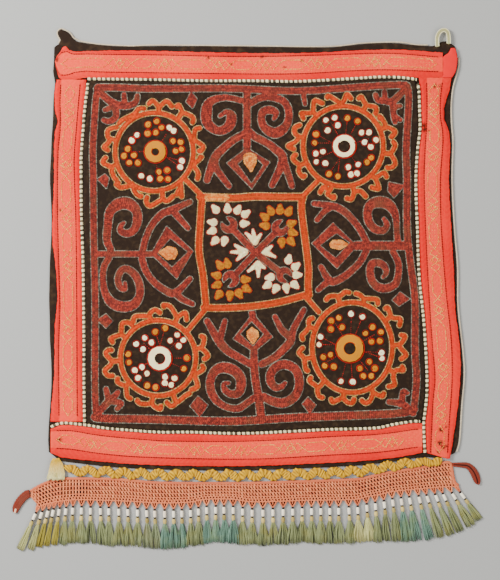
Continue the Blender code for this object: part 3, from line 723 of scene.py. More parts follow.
# %% Border strips
STRIP_STEP = 2.2
ROW_PITCH = 1.9
ROW_RISE = 0.10
PUCKER_RISE = 0.16
PUCKER_PITCH = 6.4
PUCKER_REACH = 3.0
COLUMN_SHARES = [7, 7, 8, 14, 8, 7, 7]
BASE_HEIGHT = 2.3
FRAY = 0.35
QUILTED_TONE = 0.58
EDGE_TONE = 0.06
STAIN_COLOUR = (70, 34, 28)
ROW_TONE = 0.14
WEAR_TONE = 0.10
STAIN_REACH = 1.6
STAIN_UNEVEN = 0.25
TOP_FADE = (0.02, 0.12, 0.05, 0.0)  # tone, swing of the tone, its turns along and across
SIDE_FADE = (0.0, 0.06, 0.031, 0.05)
STRIP_PLANS = [  # side, whether it runs along X, fade, how far its upper end is drawn out
    ("top", True, TOP_FADE, 1.2), ("left", False, SIDE_FADE, 2.9), ("right", False, SIDE_FADE, 1.6),
    ("bottom", True, SIDE_FADE, 0.0),
]

# Stains and moth holes, as photo pixels with a radius in millimetres.
STAINS_PX = [
    (59.5, 440, 2.4), (435, 86, 1.8), (424, 125.5, 2.4), (424.5, 129.5, 2.2), (429, 131.5, 1.2),
    (441, 430, 2.4), (440, 443, 2.8), (443, 447, 2.4), (438, 452, 1.4),
    (446, 427, 1.2), (446, 446, 1.2), (440, 86, 1.2), (208, 58, 1.6), (231, 64, 1.3),
    (262, 57, 1.5), (285, 67, 1.2), (60.5, 210, 1.4), (57, 60, 2), (56, 72, 2.4),
    (302, 61, 1.3),
]
STAINS = [(*from_photo([(px, py)])[0], radius) for px, py, radius in STAINS_PX]


COTTON = thread_material("red_cotton", (196, 60, 62), (236, 122, 108), (226, 98, 94), patch=22.0,
                         grain=1100.0)
paint_over(COTTON, number_read(COTTON.node_tree, "stain"), STAIN_COLOUR)


def strip_sections(node_name, along_x):
    """Return the places along a strip, and its upper side's eight (across, height) points there."""
    axis = 0 if along_x else 1
    table = {}
    for vert in frame["nodes"][node_name].data.vertices:
        place = round(vert.co[axis] / MM, 1)
        across = round(vert.co[1 - axis] / MM, 2)
        row = table.setdefault(place, {})
        row[across] = max(row.get(across, 0.0), vert.co.z / MM)
    places = [place for place in sorted(table) if len(table[place]) == 8]
    knots = np.array([sorted(table[place].items()) for place in places])
    return np.array(places), knots


def eased(knots, shares):
    """Return fine points through one section's knots, level at each crown and each trough."""
    result = [knots[0]]
    for start, stop, parts in zip(knots, knots[1:], shares):
        for k in range(1, parts + 1):
            t = k / parts
            ease = 3 * t**2 - 2 * t**3
            across = start[0] + (stop[0] - start[0]) * t
            result.append((across, start[1] + (stop[1] - start[1]) * ease))
    return np.array(result)


STRIP_LINES = {}


def make_strip(side, along_x, fade, reach):
    """Make one fine border strip on the form of its CAD piece, and note its quilting lines."""
    places, knots = strip_sections("border_" + side, along_x)
    places[-1] += reach
    fine = np.arange(places[0], places[-1], STRIP_STEP).tolist() + [places[-1]]
    shape = Shape()
    rings = []
    tones = []
    stains = []
    quilts = []
    for place in fine:
        section = np.array([[np.interp(place, places, knot[:, c]) for c in range(2)]
                            for knot in knots.transpose(1, 0, 2)])
        near = section[2][0]
        far = section[5][0]
        quilts.append((place, near, far))
        top = eased(section, COLUMN_SHARES)
        across = top[:, 0].copy()
        pull = np.minimum(np.abs(across - near), np.abs(across - far))
        pucker = np.sin(2 * pi * place / PUCKER_PITCH + 0.35 * across)
        row_turn = 2 * pi * (across - section[0][0]) / ROW_PITCH
        top[:, 1] += PUCKER_RISE * np.exp(-(pull / PUCKER_REACH)**2) * pucker
        top[:, 1] += ROW_RISE * np.cos(row_turn)
        for end, shift in ((0, 0.0), (-1, 2.0)):
            top[end, 0] += FRAY * sin(1.9 * place + 2.0 * sin(0.7 * place + shift))
        level, swing, turn_along, turn_across = fade
        tone = np.where((top[:, 0] > near) & (top[:, 0] < far), QUILTED_TONE, EDGE_TONE)
        tone += level + swing * np.sin(turn_along * place + turn_across * top[:, 0])
        tone += ROW_TONE * np.sin(2 * pi * (top[:, 0] - section[0][0]) / ROW_PITCH + 1.0)
        tone += WEAR_TONE * np.sin(0.9 * place + 3.0 * np.sin(0.4 * top[:, 0]))
        tones.append(np.concatenate([tone, tone[-1:], tone[:1]]))
        ring = [*top, (top[-1, 0], BASE_HEIGHT), (top[0, 0], BASE_HEIGHT)]
        ring = [(place, value, height) if along_x else (value, place, height) for value, height in ring]
        rings.append(ring)
        spots = np.array(ring)
        uneven = 1.0 + STAIN_UNEVEN * np.sin(spots[:, 0] + spots[:, 1])
        soiled = np.zeros(len(ring))
        for x, y, radius in STAINS:
            distance = np.hypot(spots[:, 0] - x, spots[:, 1] - y) * uneven
            soiled = np.maximum(soiled, np.clip(STAIN_REACH - distance / radius, 0.0, 1.0))
        stains.append(soiled)
    shape.rings(rings, tones=tones)
    piece = shape.make("cotton_border_" + side, COTTON)
    add_numbers(piece, "stain", np.concatenate(stains))
    STRIP_LINES[piece.name] = (along_x, np.array(quilts))
    return settle(piece, "red_cotton", "border_" + side)


STRIPS = [make_strip(*plan) for plan in STRIP_PLANS]


# %% [markdown]
# The border is quilted with dark red running stitches along its two troughs. Between them lie rows of
# small running stitches, and a pale pattern of crossed diamonds and long hexagons. They are drawn as
# lines in the strip's own place and distance, laid onto it from above, and sewn with the tree.

# %% Quilting lines and the border pattern
QUILT_THREAD = thread_material("quilt_thread", (44, 10, 10), (110, 22, 20), (84, 26, 20))
PEACH_THREAD = thread_material("peach_thread", (246, 146, 104), (255, 206, 148), (248, 124, 94),
                               worn_share=0.55)
ROW_THREAD = thread_material("row_thread", (206, 60, 54), (255, 190, 138), (240, 96, 80), worn_share=0.4)
SEARCH_HEIGHT = 0.05


def laid_on(tree, line, lift, step):
    """Return the line's points on the surface below them, lifted a little."""
    result = []
    for x, y in even_points(line, step):
        hit = tree.ray_cast(Vector((x * MM, y * MM, SEARCH_HEIGHT)), Vector((0.0, 0.0, -1.0)))[0]
        if hit is not None:
            result.append((x, y, hit.z / MM + lift))
    return result


DIAMOND_HALF_LENGTH = 14.0
PATTERN_HALF_WIDTH = 7.1
PATTERN_SHARE = 0.42
PATTERN_MARGIN = 8.0
CROSSING_FORM = [(-1.0, 0.0), (-0.6, 1.0), (0.0, -1.0), (0.6, 1.0), (1.0, 0.0)]  # place, side
DIAMOND_FORM = [(-0.3, 0.0), (0.0, 0.55), (0.3, 0.0)]
HEXAGON_END = 8.0
HEXAGON_SHARE = 0.8
QUILT_TRIM = 4
RUNNING_SHARES = [0.14, 0.28, 0.42, 0.58, 0.72, 0.86]
PATTERN_PLACES_PX = {
    "cotton_border_top": [120, 165, 218, 266, 318, 375],
    "cotton_border_bottom": [91, 141, 194, 241, 291, 341, 392],
    "cotton_border_left": [113, 165, 218, 266, 330, 383],
    "cotton_border_right": [113, 157, 208, 260, 310, 367, 415],
}


def pattern_lines(centres, first, last):
    """Return (place, side) lines of diamonds at the centres, with long hexagons between them."""
    lines = []
    reach = DIAMOND_HALF_LENGTH
    for centre in centres:
        for side in (-1.0, 1.0):
            for form in (CROSSING_FORM, DIAMOND_FORM):
                lines.append([(centre + place * reach, value * side) for place, value in form])
    ends = [place for centre in centres for place in (centre - reach, centre + reach)]
    edges = [first, *ends, last]
    for start, stop in zip(edges[::2], edges[1::2]):
        if stop - start > 2.2 * HEXAGON_END:
            for side in (-1.0, 1.0):
                lines.append([(start, 0.0), (start + HEXAGON_END, HEXAGON_SHARE * side),
                              (stop - HEXAGON_END, HEXAGON_SHARE * side), (stop, 0.0)])
    return lines


quilt_rows = []
pattern_rows = []
running_rows = []
for strip in STRIPS:
    along_x, quilts = STRIP_LINES[strip.name]
    tree = BVHTree.FromObject(strip, bpy.context.evaluated_depsgraph_get())

    def on_strip(place, across):
        return (place, across) if along_x else (across, place)

    for column in (1, 2):
        line = [on_strip(row[0], row[column]) for row in quilts[QUILT_TRIM:-QUILT_TRIM]]
        quilt_rows.append(laid_on(tree, line, lift=0.15, step=2.0))
    for share in RUNNING_SHARES:
        line = [on_strip(row[0], row[1] + (row[2] - row[1]) * share)
                for row in quilts[QUILT_TRIM + 1:-QUILT_TRIM - 1]]
        running_rows.append(laid_on(tree, line, lift=0.1, step=2.0))
    spots_px = PATTERN_PLACES_PX[strip.name]
    if along_x:
        centres = sorted((px - MIDDLE_PX[0]) * PIXEL_MM for px in spots_px)
    else:
        centres = sorted((MIDDLE_PX[1] - py) * PIXEL_MM for py in spots_px)
    for line in pattern_lines(centres, quilts[0][0] + PATTERN_MARGIN, quilts[-1][0] - PATTERN_MARGIN):
        spots = []
        for place, side in even_points(line, 2.0):
            near = np.interp(place, quilts[:, 0], quilts[:, 1])
            far = np.interp(place, quilts[:, 0], quilts[:, 2])
            half = min(PATTERN_HALF_WIDTH, PATTERN_SHARE * abs(far - near))
            spots.append(on_strip(place, 0.5 * (near + far) + side * half))
        pattern_rows.append(laid_on(tree, spots, lift=0.25, step=1.6))
pattern_rows = [row for row in pattern_rows if len(row) > 2]
for piece in (
        sew("quilting_stitches", quilt_rows, RUN, QUILT_THREAD, spacing=3.1, size=(1.1, 1.45), seed=3),
        sew("running_row_stitches", running_rows, RUN, ROW_THREAD, spacing=3.6, size=(0.6, 0.85), seed=6),
        sew("border_pattern_stitches", pattern_rows, FINE_CHAIN, PEACH_THREAD, spacing=2.2,
            size=(0.7, 0.95), seed=4)):
    settle(piece, "red_cotton")


# %% [markdown]
# The corner flap is a scrap of brighter red cotton folded over the upper right corner. Its left and
# right sides are two smooth lines, and sections between them have a soft crown and slanting folds.

# %% Corner flap
FLAP_ROWS = [  # y, left x, right x
    (219.4, 234.2, 246.5), (226, 234.8, 250.5), (233, 234.6, 252.3), (241, 234.4, 253),
    (246, 236, 252.8), (250, 241.5, 252), (254, 244, 251), (257, 245, 249),
]
FLAP_RIM = 4.0
FLAP_CROWN = 0.8
FLAP_STEP = 0.8
FLAP_PARTS = 18
FLAP_FOLD = 0.18
FLAP_RED = thread_material("flap_red", (199, 76, 77), (220, 90, 91), (214, 84, 84), patch=60.0)


def make_flap():
    """Make the flap with rounded sides and slanting folds."""
    left = line_through([(y, low) for y, low, high in FLAP_ROWS])
    right = line_through([(y, high) for y, low, high in FLAP_ROWS])
    shape = Shape()
    rings = []
    y = FLAP_ROWS[0][0]
    while y <= FLAP_ROWS[-1][0]:
        low = left(y)
        wide = right(y) - low
        ring = []
        for k in range(FLAP_PARTS + 1):
            across = k / FLAP_PARTS
            height = FLAP_RIM + FLAP_CROWN * sin(pi * across)**0.6
            height += FLAP_FOLD * sin(0.55 * y + 5.0 * across)
            ring.append((low + wide * across, y, height))
        ring += [(low + wide, y, BASE_HEIGHT), (low, y, BASE_HEIGHT)]
        rings.append(ring)
        y += FLAP_STEP
    shape.rings(rings)
    return shape.make("corner_flap_cotton", FLAP_RED)


corner_flap = settle(make_flap(), "red_cotton", "corner_flap")


# %% [markdown]
# A cord lies in the groove between the border and the centre, and two threads, one black and one
# white, are wound over it side by side. The core is a plain tube, and the tree sets one arch for each
# turn of thread, with a stripe of tones that makes the black and white lengths.

# %% Whipped edging
EDGING_TOP = [  # x, y
    (-209.5, 217.6), (-194, 217.5), (-120, 216.6), (-60, 215.3), (-6, 215.3),
    (50, 214.5), (94, 216.3), (114, 217.5), (137, 218.9), (154, 220),
    (181, 219.5), (196, 217.8), (204, 216.4),
]
EDGING_BOTTOM = [  # x, y
    (-255.3, -218), (-251.3, -215.6), (-246.3, -213.8), (-241, -212.6), (-234, -212.5),
    (-225, -213.6), (-215, -214.6), (-206, -215.8), (-194, -218), (-179, -219.8),
    (-159, -221.4), (-120, -224), (-80, -224), (-40, -225.4), (-6, -225.4),
    (56, -222.5), (94, -220.5), (121, -220), (154, -218.5), (169, -215.2),
    (181, -212.9), (194, -211), (201, -210.3), (208.4, -210.8),
]
EDGING_LEFT = [  # y, x
    (214.8, -208.9), (204, -209.6), (194, -211.2), (181, -212.5), (170, -213.8),
    (160, -214.3), (135, -216.3), (119, -217.3), (91, -217.3), (51, -217),
    (-9, -215), (-107, -213.8), (-157, -213.8), (-211.9, -213.1),
]
EDGING_RIGHT = [  # y, x
    (213.6, 202.8), (211, 203.5), (204, 204.9), (179, 205.8), (154, 206.3),
    (129, 203.3), (91, 201.2), (31, 203), (-29, 205.3), (-87, 211.2),
    (-147, 214.8), (-177, 214.8), (-199, 212.5), (-211, 211), (-227, 211.3),
    (-250, 212.5),
]
EDGING_CORE = 1.15
EDGING_HEIGHT = 3.9
EDGING_STEP = 2.5
WHIP_SPACING = 1.15
WHIP_PITCH = 5.84
WHIP_STRIPES = (WHIP_PITCH / WHIP_SPACING, 0.58, 0.9)  # turns to a stripe, its light share, strength

edge_line = {}
for side, rows in {"top": EDGING_TOP, "bottom": EDGING_BOTTOM, "left": EDGING_LEFT,
                   "right": EDGING_RIGHT}.items():
    edge_line[side] = line_through(rows)
    first = min(row[0] for row in rows) + 1.0
    last = max(row[0] for row in rows) - 1.0
    line = []
    for place in np.arange(first, last, EDGING_STEP):
        across = edge_line[side](place)
        spot = (place, across) if side in ("top", "bottom") else (across, place)
        line.append((*spot, EDGING_HEIGHT))
    core = Shape()
    core.tube(line, EDGING_CORE, sides=8, tone=0.1)
    settle(core.make("edging_core_" + side, WHIP), "whipped_cord", "edging_" + side)
    whip = sew("edging_whip_" + side, [even_points(line, 1.0)], WHIP_ARCH, WHIP, WHIP_SPACING,
               size=(0.93, 1.08), seed=8, stripe=WHIP_STRIPES)
    settle(whip, "whipped_cord")


# %% [markdown]
# A thin pale cord edges the top and the right side of the backing. It is a two strand rope, so its
# section has two lobes that turn as it runs, and small whip stitches hold it to the felt.

# %% Edge cords
BACK_TOP = [  # x, y
    (-222, 265), (-212, 263), (-194, 260.5), (-156, 258.5), (-131, 259.3),
    (-6, 258.5), (64, 257.5), (100, 258), (119, 260), (134, 261.8),
    (169, 263.2), (187, 262.5), (201, 260), (222, 259.6),
]
BACK_RIGHT = [  # y, x
    (247.5, 253.5), (234, 253.8), (221, 250.5), (206, 246.5), (185, 244.5),
    (160, 245), (141, 246.5), (91, 245.5), (31, 248.5), (-19, 252.5),
    (-64, 252.8), (-127, 259.5), (-152, 260.8), (-194, 257.5), (-237, 254.5),
    (-251, 250.5),
]
EAR_LEFT = [  # x, y
    (-245, 262.5), (-243, 267), (-245.5, 271.5), (-246.5, 276.5),
    (-243, 280), (-238.5, 278.5), (-232.5, 275.3), (-228, 269),
]
ROPE_RADIUS = 0.85
ROPE_OFFSET = 1.1
ROPE_HEIGHT = 1.15
ROPE_TWIST = 1.6
ROPE_STEP = 4.0
TOP_RUN = (-220.0, 219.0)
RIGHT_RUN = (244.0, -249.0)


def moved_sideways(points, distance):
    """Move an open line sideways, to the left of its direction of travel."""
    data = np.array(points, float)
    ahead = np.gradient(data, axis=0)
    ahead /= np.linalg.norm(ahead, axis=1)[:, None]
    return data + distance * np.stack([-ahead[:, 1], ahead[:, 0]], axis=1)


back_top = line_through(BACK_TOP)
back_right = line_through(BACK_RIGHT)
ear = moved_sideways(smooth_points(EAR_LEFT, 3), ROPE_OFFSET).tolist()
level = [(x, back_top(x) + ROPE_OFFSET) for x in np.arange(*TOP_RUN, ROPE_STEP)]
down = [(back_right(y) + ROPE_OFFSET + 0.3, y) for y in np.arange(*RIGHT_RUN, -ROPE_STEP)]
for title, node_name, line in (("edge_rope_top", "edge_cord", ear + level),
                               ("edge_rope_right", "edge_cord_right", down)):
    path = [(x, y, ROPE_HEIGHT) for x, y in even_points(line, 1.0)]
    rope = Shape()
    rope.tube(path, ROPE_RADIUS, sides=10, lobes=2, twist=ROPE_TWIST, tone=0.6)
    settle(rope.make(title, PALE_CORD), "pale_cord", node_name)
    settle(sew(title + "_whip", [path], CORD_ARCH, PALE_CORD, spacing=3.2, size=(0.85, 1.1), seed=5),
           "pale_cord")


# %% [markdown]
# The motifs of the centre are traditional ones: ram's horn scrolls, rosettes with forked horns, and a
# cross in a square. Each is drawn as strokes, lines with a width, like a maker's chalk lines on the
# felt. The tables hold photo pixels, with the half width of a stroke beside its points.

# %% Strokes of the red scrolls
TOP_SCROLLS_PX = [
    ([(247, 90), (247, 118), (247, 149)], 4.3),
    ([(247, 130), (255, 137)], 4.3),
    ([(243, 101), (225, 97.5), (210, 102), (206.5, 112), (208, 124), (219, 131), (229, 126),
      (231.5, 117), (227, 112), (220, 116)], [3.6, 3.7, 4.8, 6.2, 5.6, 4.8, 5.6, 5.6, 3.4, 2.5]),
    ([(251, 103), (260, 98), (270, 97), (283, 101), (288.5, 110), (288, 122), (282, 130), (274, 133),
      (265, 128), (261.5, 120), (263, 112), (270, 110), (276, 113), (274, 119)],
     [4, 4.2, 4.2, 4.3, 4.3, 4.5, 5.5, 5.8, 4.8, 4.3, 4.6, 4.6, 3.8, 2.5]),
    ([(247, 133), (235, 139), (225, 147), (215, 158), (207, 180)], [4.4, 4.4, 4.6, 5, 4]),
    ([(215, 158), (216, 168), (229, 186)], [4.6, 4.2, 3.4]),
    ([(255, 137), (265, 142), (275, 149), (283, 160), (272, 185)], [4.4, 4.4, 4.6, 5, 3.8]),
    ([(283, 160), (286, 168), (292, 186)], [4.6, 4.2, 3.6]),
]
LEFT_SCROLLS_PX = [
    ([(96, 254), (120, 254), (152, 254)], 3.6),
    ([(111, 250), (107, 240), (108, 225), (110, 212), (118, 204.5), (128, 203.5), (136, 210),
      (137.5, 220), (134, 230), (127, 233.5), (121, 231), (121, 226), (124, 223)],
     [4, 4.5, 4.7, 5.2, 6.4, 6.6, 5.4, 5.2, 4.6, 4.3, 4, 3.2, 2.4]),
    ([(109, 258), (104, 267), (103, 280), (105, 292), (111, 302), (121, 306.5), (133, 305),
      (139.5, 296), (139.5, 285), (135, 275), (127, 269), (121, 271), (118, 279), (120, 287),
      (125, 289), (125, 283)],
     [3.8, 3.8, 3.8, 4.2, 5.4, 5.8, 5.4, 4.6, 4.5, 4.5, 4.2, 4, 4, 3.8, 3, 2.4]),
    ([(143, 250), (146, 238), (152, 225), (162, 214), (172, 210), (190, 202)],
     [4, 4, 4, 4.3, 4.4, 3.4]),
    ([(172, 210), (180, 219), (188, 228)], [4.2, 3.8, 3.2]),
    ([(142, 259), (146, 271), (153, 281), (163, 289), (175, 293), (190, 279)],
     [4, 4, 4, 4.2, 4.4, 3.4]),
    ([(175, 293), (182, 299), (192.5, 304)], [4.2, 3.8, 3.2]),
]
RIGHT_SCROLLS_PX = [
    ([(407, 245.7), (385, 245.7), (356, 245.7)], 5),
    ([(398, 243), (397, 235), (396.5, 225), (395, 214), (389, 205), (380, 202), (371, 204.5),
      (367.5, 212), (369, 222), (375, 229), (383, 230.5), (387, 225), (384, 219)],
     [3.8, 3.6, 3.6, 4.4, 5.8, 6.2, 5.4, 4.8, 4.8, 4.6, 4.2, 3.6, 2.6]),
    ([(393, 252), (398, 262), (398.5, 272), (396, 283), (388, 288), (379, 287.5), (372, 281),
      (370, 271), (372, 264), (379, 263), (385, 267), (386, 273), (383, 277)],
     [3.8, 3.9, 3.9, 4.4, 4.8, 4.8, 4.5, 4.4, 4.4, 4.4, 4, 3.2, 2.4]),
    ([(367, 243), (361, 231), (352, 219), (342, 210), (332, 206), (314, 203.5)],
     [4, 4, 4.1, 4.3, 4.2, 3.4]),
    ([(332, 206), (325, 211), (317, 220)], [4, 3.7, 3.2]),
    ([(366, 251), (360, 262), (350, 272), (340, 279), (330, 281), (321, 267)],
     [4, 4, 4.1, 4.3, 4.4, 3.3]),
    ([(330, 281), (325, 284), (318, 290)], [4, 3.7, 3.2]),
]
BOTTOM_SCROLLS_PX = [
    ([(254, 350), (254, 364), (255.5, 380), (259, 400), (261, 416)], [4.2, 4.5, 4.6, 4.8, 4.8]),
    ([(254, 398), (247, 403), (238, 408.5), (227, 407), (217, 401), (211, 391), (210.5, 380),
      (215, 371), (223, 367.5), (233, 370), (240, 377), (241, 386), (238, 393), (231, 394),
      (225, 390), (224, 384), (229, 383)],
     [4, 4, 4.2, 4, 4.4, 4.8, 4.8, 5.2, 5.8, 5.8, 5.6, 5.4, 5, 4.4, 3.8, 3, 2.4]),
    ([(264, 397), (272, 401), (283, 403), (293, 398), (298.5, 389), (299, 378), (295, 369),
      (286, 364.5), (277, 366.5), (271, 373), (270.5, 381), (275, 387), (281, 387), (285, 383)],
     [4.6, 5, 5.4, 5.2, 5, 5, 5, 5.2, 5.2, 5, 4.8, 4.4, 3.6, 2.6]),
    ([(252, 311), (253, 318)], 4),
    ([(250, 364), (240, 358), (228, 351), (219, 341), (207, 321)], [4.2, 4.3, 4.6, 4.8, 3.6]),
    ([(219, 341), (221, 335), (225, 321)], [4.4, 4, 3.2]),
    ([(262, 364), (272, 359), (283, 350), (291, 339), (282, 330), (275, 317)],
     [4.2, 4.3, 4.6, 4.8, 4, 3.2]),
    ([(291, 339), (294, 328), (304, 310)], [4.4, 4, 3.4]),
]
CORNER_STROKES_PX = [
    ([(97, 89), (111, 102), (125, 106), (135, 103), (137.5, 96)], [4, 4.4, 4.2, 3.8, 3.2]),
    ([(125, 106), (124, 95)], [3.8, 3.2]),
    ([(111, 102), (116, 111), (115, 118), (109, 121.5), (104, 120)], [4.2, 4, 3.8, 3.6, 3.2]),
    ([(113, 107), (105, 110)], [3.6, 3]),
    ([(405, 89), (393, 101), (385, 101), (378, 100), (375.5, 95)], [4, 4.2, 4, 3.6, 3.2]),
    ([(385, 101), (384.5, 92)], [3.6, 3.2]),
    ([(393, 101), (393, 108), (394, 117), (395, 122)], [4.2, 3.8, 3.6, 3.2]),
    ([(393, 108), (400, 106)], [3.4, 3]),
    ([(394, 116), (400, 120)], [3.4, 3]),
    ([(97, 414), (109, 401), (115, 396), (118, 392)], [4, 4.4, 3.8, 3]),
    ([(109, 401), (106, 389)], [4, 3.2]),
    ([(109, 401), (121, 403), (117, 409)], [4, 3.6, 3]),
    ([(413, 413), (402, 404), (389, 402)], [4, 4.4, 3.4]),
    ([(402, 404), (403, 392), (407, 393)], [4, 3.6, 3]),
    ([(303, 92), (305, 104)], [3.4, 2.8]),
]
FRAME_BAND_PX = [
    ([(98, 87.5), (120, 87.6), (150, 88.7), (210, 88.3), (245, 89), (300, 91), (362, 86.9), (400, 84.8),
      (407, 86)], 4.1),
    ([(407, 86), (408.7, 100), (406.2, 150), (407, 180), (407, 228), (410, 260), (415, 300),
      (415, 350), (416.6, 379), (414, 408)], 4.1),
    ([(414, 409), (395, 413.5), (300, 417.3), (250, 420.4), (220, 421.2), (150, 419.2), (100, 418.2),
      (96, 416)], 4.6),
    ([(98, 87.5), (95.9, 100), (94.7, 117), (92.8, 150), (93.3, 180), (94, 244), (95.3, 308),
      (95, 379), (96, 416)], 3.9),
]
ARROW_HEADS_PX = [
    [(191, 90), (185, 102), (193, 110), (198, 99)], [(96, 179), (105, 173), (110, 178), (107, 190)],
    [(96, 320), (106, 313), (114, 321), (106, 329)], [(406, 185), (388, 181), (387, 191), (394, 199)],
    [(411, 299), (400, 291), (391, 300), (399, 307)], [(200, 418), (189, 406), (198, 395), (209, 405)],
    [(310, 415), (301, 404), (308, 396), (317, 405)],
]
DIAMONDS_PX = [  # outer corners, corners of the hole
    ([(247, 147), (225.8, 163), (252, 190), (270.8, 162)],
     [(250, 153.5), (238.4, 164.3), (251.5, 182.5), (262.6, 165)]),
    ([(150, 254), (166.5, 225), (194, 251), (177, 280)],
     [(158, 253.5), (170.5, 239), (187, 252), (172, 266.5)]),
    ([(358, 246), (333, 222), (311, 243.5), (337, 269.5)],
     [(349, 243), (336.5, 234), (321, 245.5), (335.5, 257)]),
    ([(253, 312), (232, 339), (254, 353), (273.5, 337)],
     [(251.5, 322), (241, 334), (253, 345.5), (263, 334)]),
]
CROSS_MIDDLE_PX = (255.5, 253.0)
CROSS_HEADS_PX = [(229, 225, 9), (280, 228, 9), (231, 279, 9), (284, 275, 8.5)]
CROSS_ARM_HALF_PX = 3.7
NOTCH_HALVES_PX = [2.0, 3.2]
NOTCH_START_PX = 2.0
NOTCH_SHARE = 1.4
RED_STROKES_PX = (TOP_SCROLLS_PX + LEFT_SCROLLS_PX + RIGHT_SCROLLS_PX + BOTTOM_SCROLLS_PX
                  + CORNER_STROKES_PX + FRAME_BAND_PX)
print("red strokes:", len(RED_STROKES_PX))


# %% [markdown]
# Each rosette is a ring with forked horns around it. A horn grows from a root on the ring and parts
# into two arms that curl back. The square band, its peach patches and the small white crowns around
# the cross are strokes of the same kind.

# %% Strokes of the rosettes and the square
ROSETTES_PX = {  # middle, radii across and along, and the (root, arm, arm) of every horn
    "upper_left": ((154.3, 151.9), (36, 36), [
        ((159, 108), [(153, 99), (149, 103)], [(167, 99.5), (172, 106)]),
        ((182, 113), [(180, 104), (177, 106)], [(193, 115), (195, 119), (193, 122)]),
        ((194, 140), [(197, 129), (200, 128)], [(205, 146), (203, 151), (200, 151)]),
        ((193, 165), [(203, 158), (201, 157)], [(200, 174), (198, 179)]),
        ((181, 185), [(182, 197)], [(177, 195)]),
        ((162, 190), [(163, 200), (158, 204), (150, 208), (146, 204), (147, 198)],
         [(163, 200), (167, 203), (172, 200), (173, 197)]),
        ((133, 185), [(120, 189), (115, 186), (118, 183)], [(133, 192), (137, 197), (141, 197)]),
        ((113, 166), [(108, 167), (101, 163), (105, 158)], [(110, 172), (113, 179), (116, 180)]),
        ((111, 139), [(106, 143), (102, 147), (107, 150)],
         [(106, 136), (106, 130), (111, 127), (116, 127)]),
        ((131, 116), [(121, 119), (119, 123)], [(134, 112), (138, 107), (144, 108)]),
    ]),
    "upper_right": ((343.2, 146.3), (37, 37), [
        ((341, 104), [(335, 98), (328, 94), (327, 97)], [(344, 99), (347, 92.5), (351, 98)]),
        ((366, 106), [(365, 100), (362, 95), (359, 98)], [(377, 106), (376, 113)]),
        ((386, 127), [(382, 115.5), (380, 118)], [(397, 131), (392, 137)]),
        ((390, 154), [(397, 146), (394, 142)], [(397, 163), (394, 168), (388, 168)]),
        ((375, 178), [(385, 174), (387, 177)], [(380, 190), (372, 188)]),
        ((354, 191), [(361, 193), (366, 197)], [(352, 201), (347, 199)]),
        ((330, 190), [(323, 189), (320, 193)], [(327, 196), (333, 200), (334, 197)]),
        ((301, 165), [(293, 162), (291, 158), (295, 155)], [(297, 172), (301, 178), (304, 176)]),
        ((300, 137), [(293, 133), (293, 127), (299, 125)], [(293, 142), (286, 146), (293, 149)]),
        ((314, 113), [(306, 112), (300, 112), (303, 118)], [(312, 105), (314, 99), (322, 103)]),
    ]),
    "lower_left": ((158.2, 358), (34.6, 34.6), [
        ((177, 318), [(171, 305), (164, 303), (164, 306)], [(186, 311), (187, 319)]),
        ((150, 317), [(150, 311), (155, 308), (160, 312)], [(143, 314), (134, 315), (133, 321)]),
        ((122, 335), [(120, 328), (121, 322), (127, 321), (132, 325)],
         [(115, 335), (109, 338), (112, 342)]),
        ((113, 361), [(104, 354), (106, 350), (111, 350)],
         [(108, 366), (103, 371), (106, 376), (112, 376)]),
        ((127, 385), [(121, 386), (116, 383), (117, 379)], [(125, 391), (126, 398), (130, 399)]),
        ((152, 402), [(146, 406), (139, 405), (137, 401)], [(154, 408), (160, 411), (161, 407)]),
        ((176, 402), [(172, 408), (167, 403)], [(181, 402), (187, 397), (190, 394)]),
        ((194, 375), [(205, 370), (203, 366)], [(198, 381), (199, 388), (192, 390)]),
        ((200, 348), [(205, 344), (206, 337), (202, 336)], [(207, 351), (210, 356), (205, 359)]),
    ]),
    "lower_right": ((352.2, 347.5), (37, 42), [
        ((338, 297), [(333, 294), (328, 295), (326, 299)], [(341, 293), (345, 290), (349, 292)]),
        ((364, 299), [(360, 293), (356, 293)], [(371, 297), (378, 298), (378, 303)]),
        ((390, 317), [(391, 311), (389, 306), (386, 308)], [(396, 317), (402, 318), (400, 325)]),
        ((398, 345), [(404, 342), (407, 336), (402, 335)], [(404, 350), (408, 355), (402, 359)]),
        ((393, 372), [(399, 371), (405, 371), (403, 367)], [(395, 379), (396, 386), (389, 387)]),
        ((373, 392), [(383, 398), (384, 394)], [(371, 402), (366, 405), (362, 401)]),
        ((343, 397), [(337, 402), (332, 404), (331, 400)], [(347, 404), (352, 405), (354, 400)]),
        ((319, 387), [(313, 386), (308, 382), (310, 378)], [(316, 392), (318, 398), (322, 398)]),
        ((305, 359), [(301, 357), (297, 353), (302, 348)], [(303, 364), (304, 370), (307, 371)]),
        ((310, 327), [(307, 322), (308, 318), (312, 318)], [(304, 331), (300, 335), (302, 339)]),
    ]),
}
RING_HALF_PX = 3.1
HORN_HALVES_PX = (2.8, 3.0, 3.1)
HORN_PULL_PX = (2.0, 0.6)
CONNECTORS_PX = [[(186, 180), (202, 196)], [(317, 182), (302, 197)], [(188, 330), (204, 311)],
                 [(319, 312), (306, 297)]]
SQUARE_BAND_PX = [
    ([(200, 197), (215, 197.5), (235, 198), (255, 196.5), (280, 197), (303, 197)], 4.2),
    ([(303, 197), (301.5, 210), (306.5, 250), (308.5, 270), (308, 285), (309, 295)], 4),
    ([(309, 294), (280, 302), (250, 306.5), (220, 308), (204, 307.5)], 4),
    ([(202, 197), (200.5, 220), (199, 250), (203, 275), (206, 306)], 4),
]
CROWNS_PX = [  # base, prongs
    ((255, 242), [(246, 233), (253, 230), (261, 234)]),
    ((245, 252), [(235, 245), (231, 252), (237, 260)]),
    ((265, 252), [(272, 246), (275.5, 257)]), ((258, 264), [(248, 271.5), (258.5, 277), (265, 268)]),
]
CROWN_HALVES_PX = [3.3, 1.1]
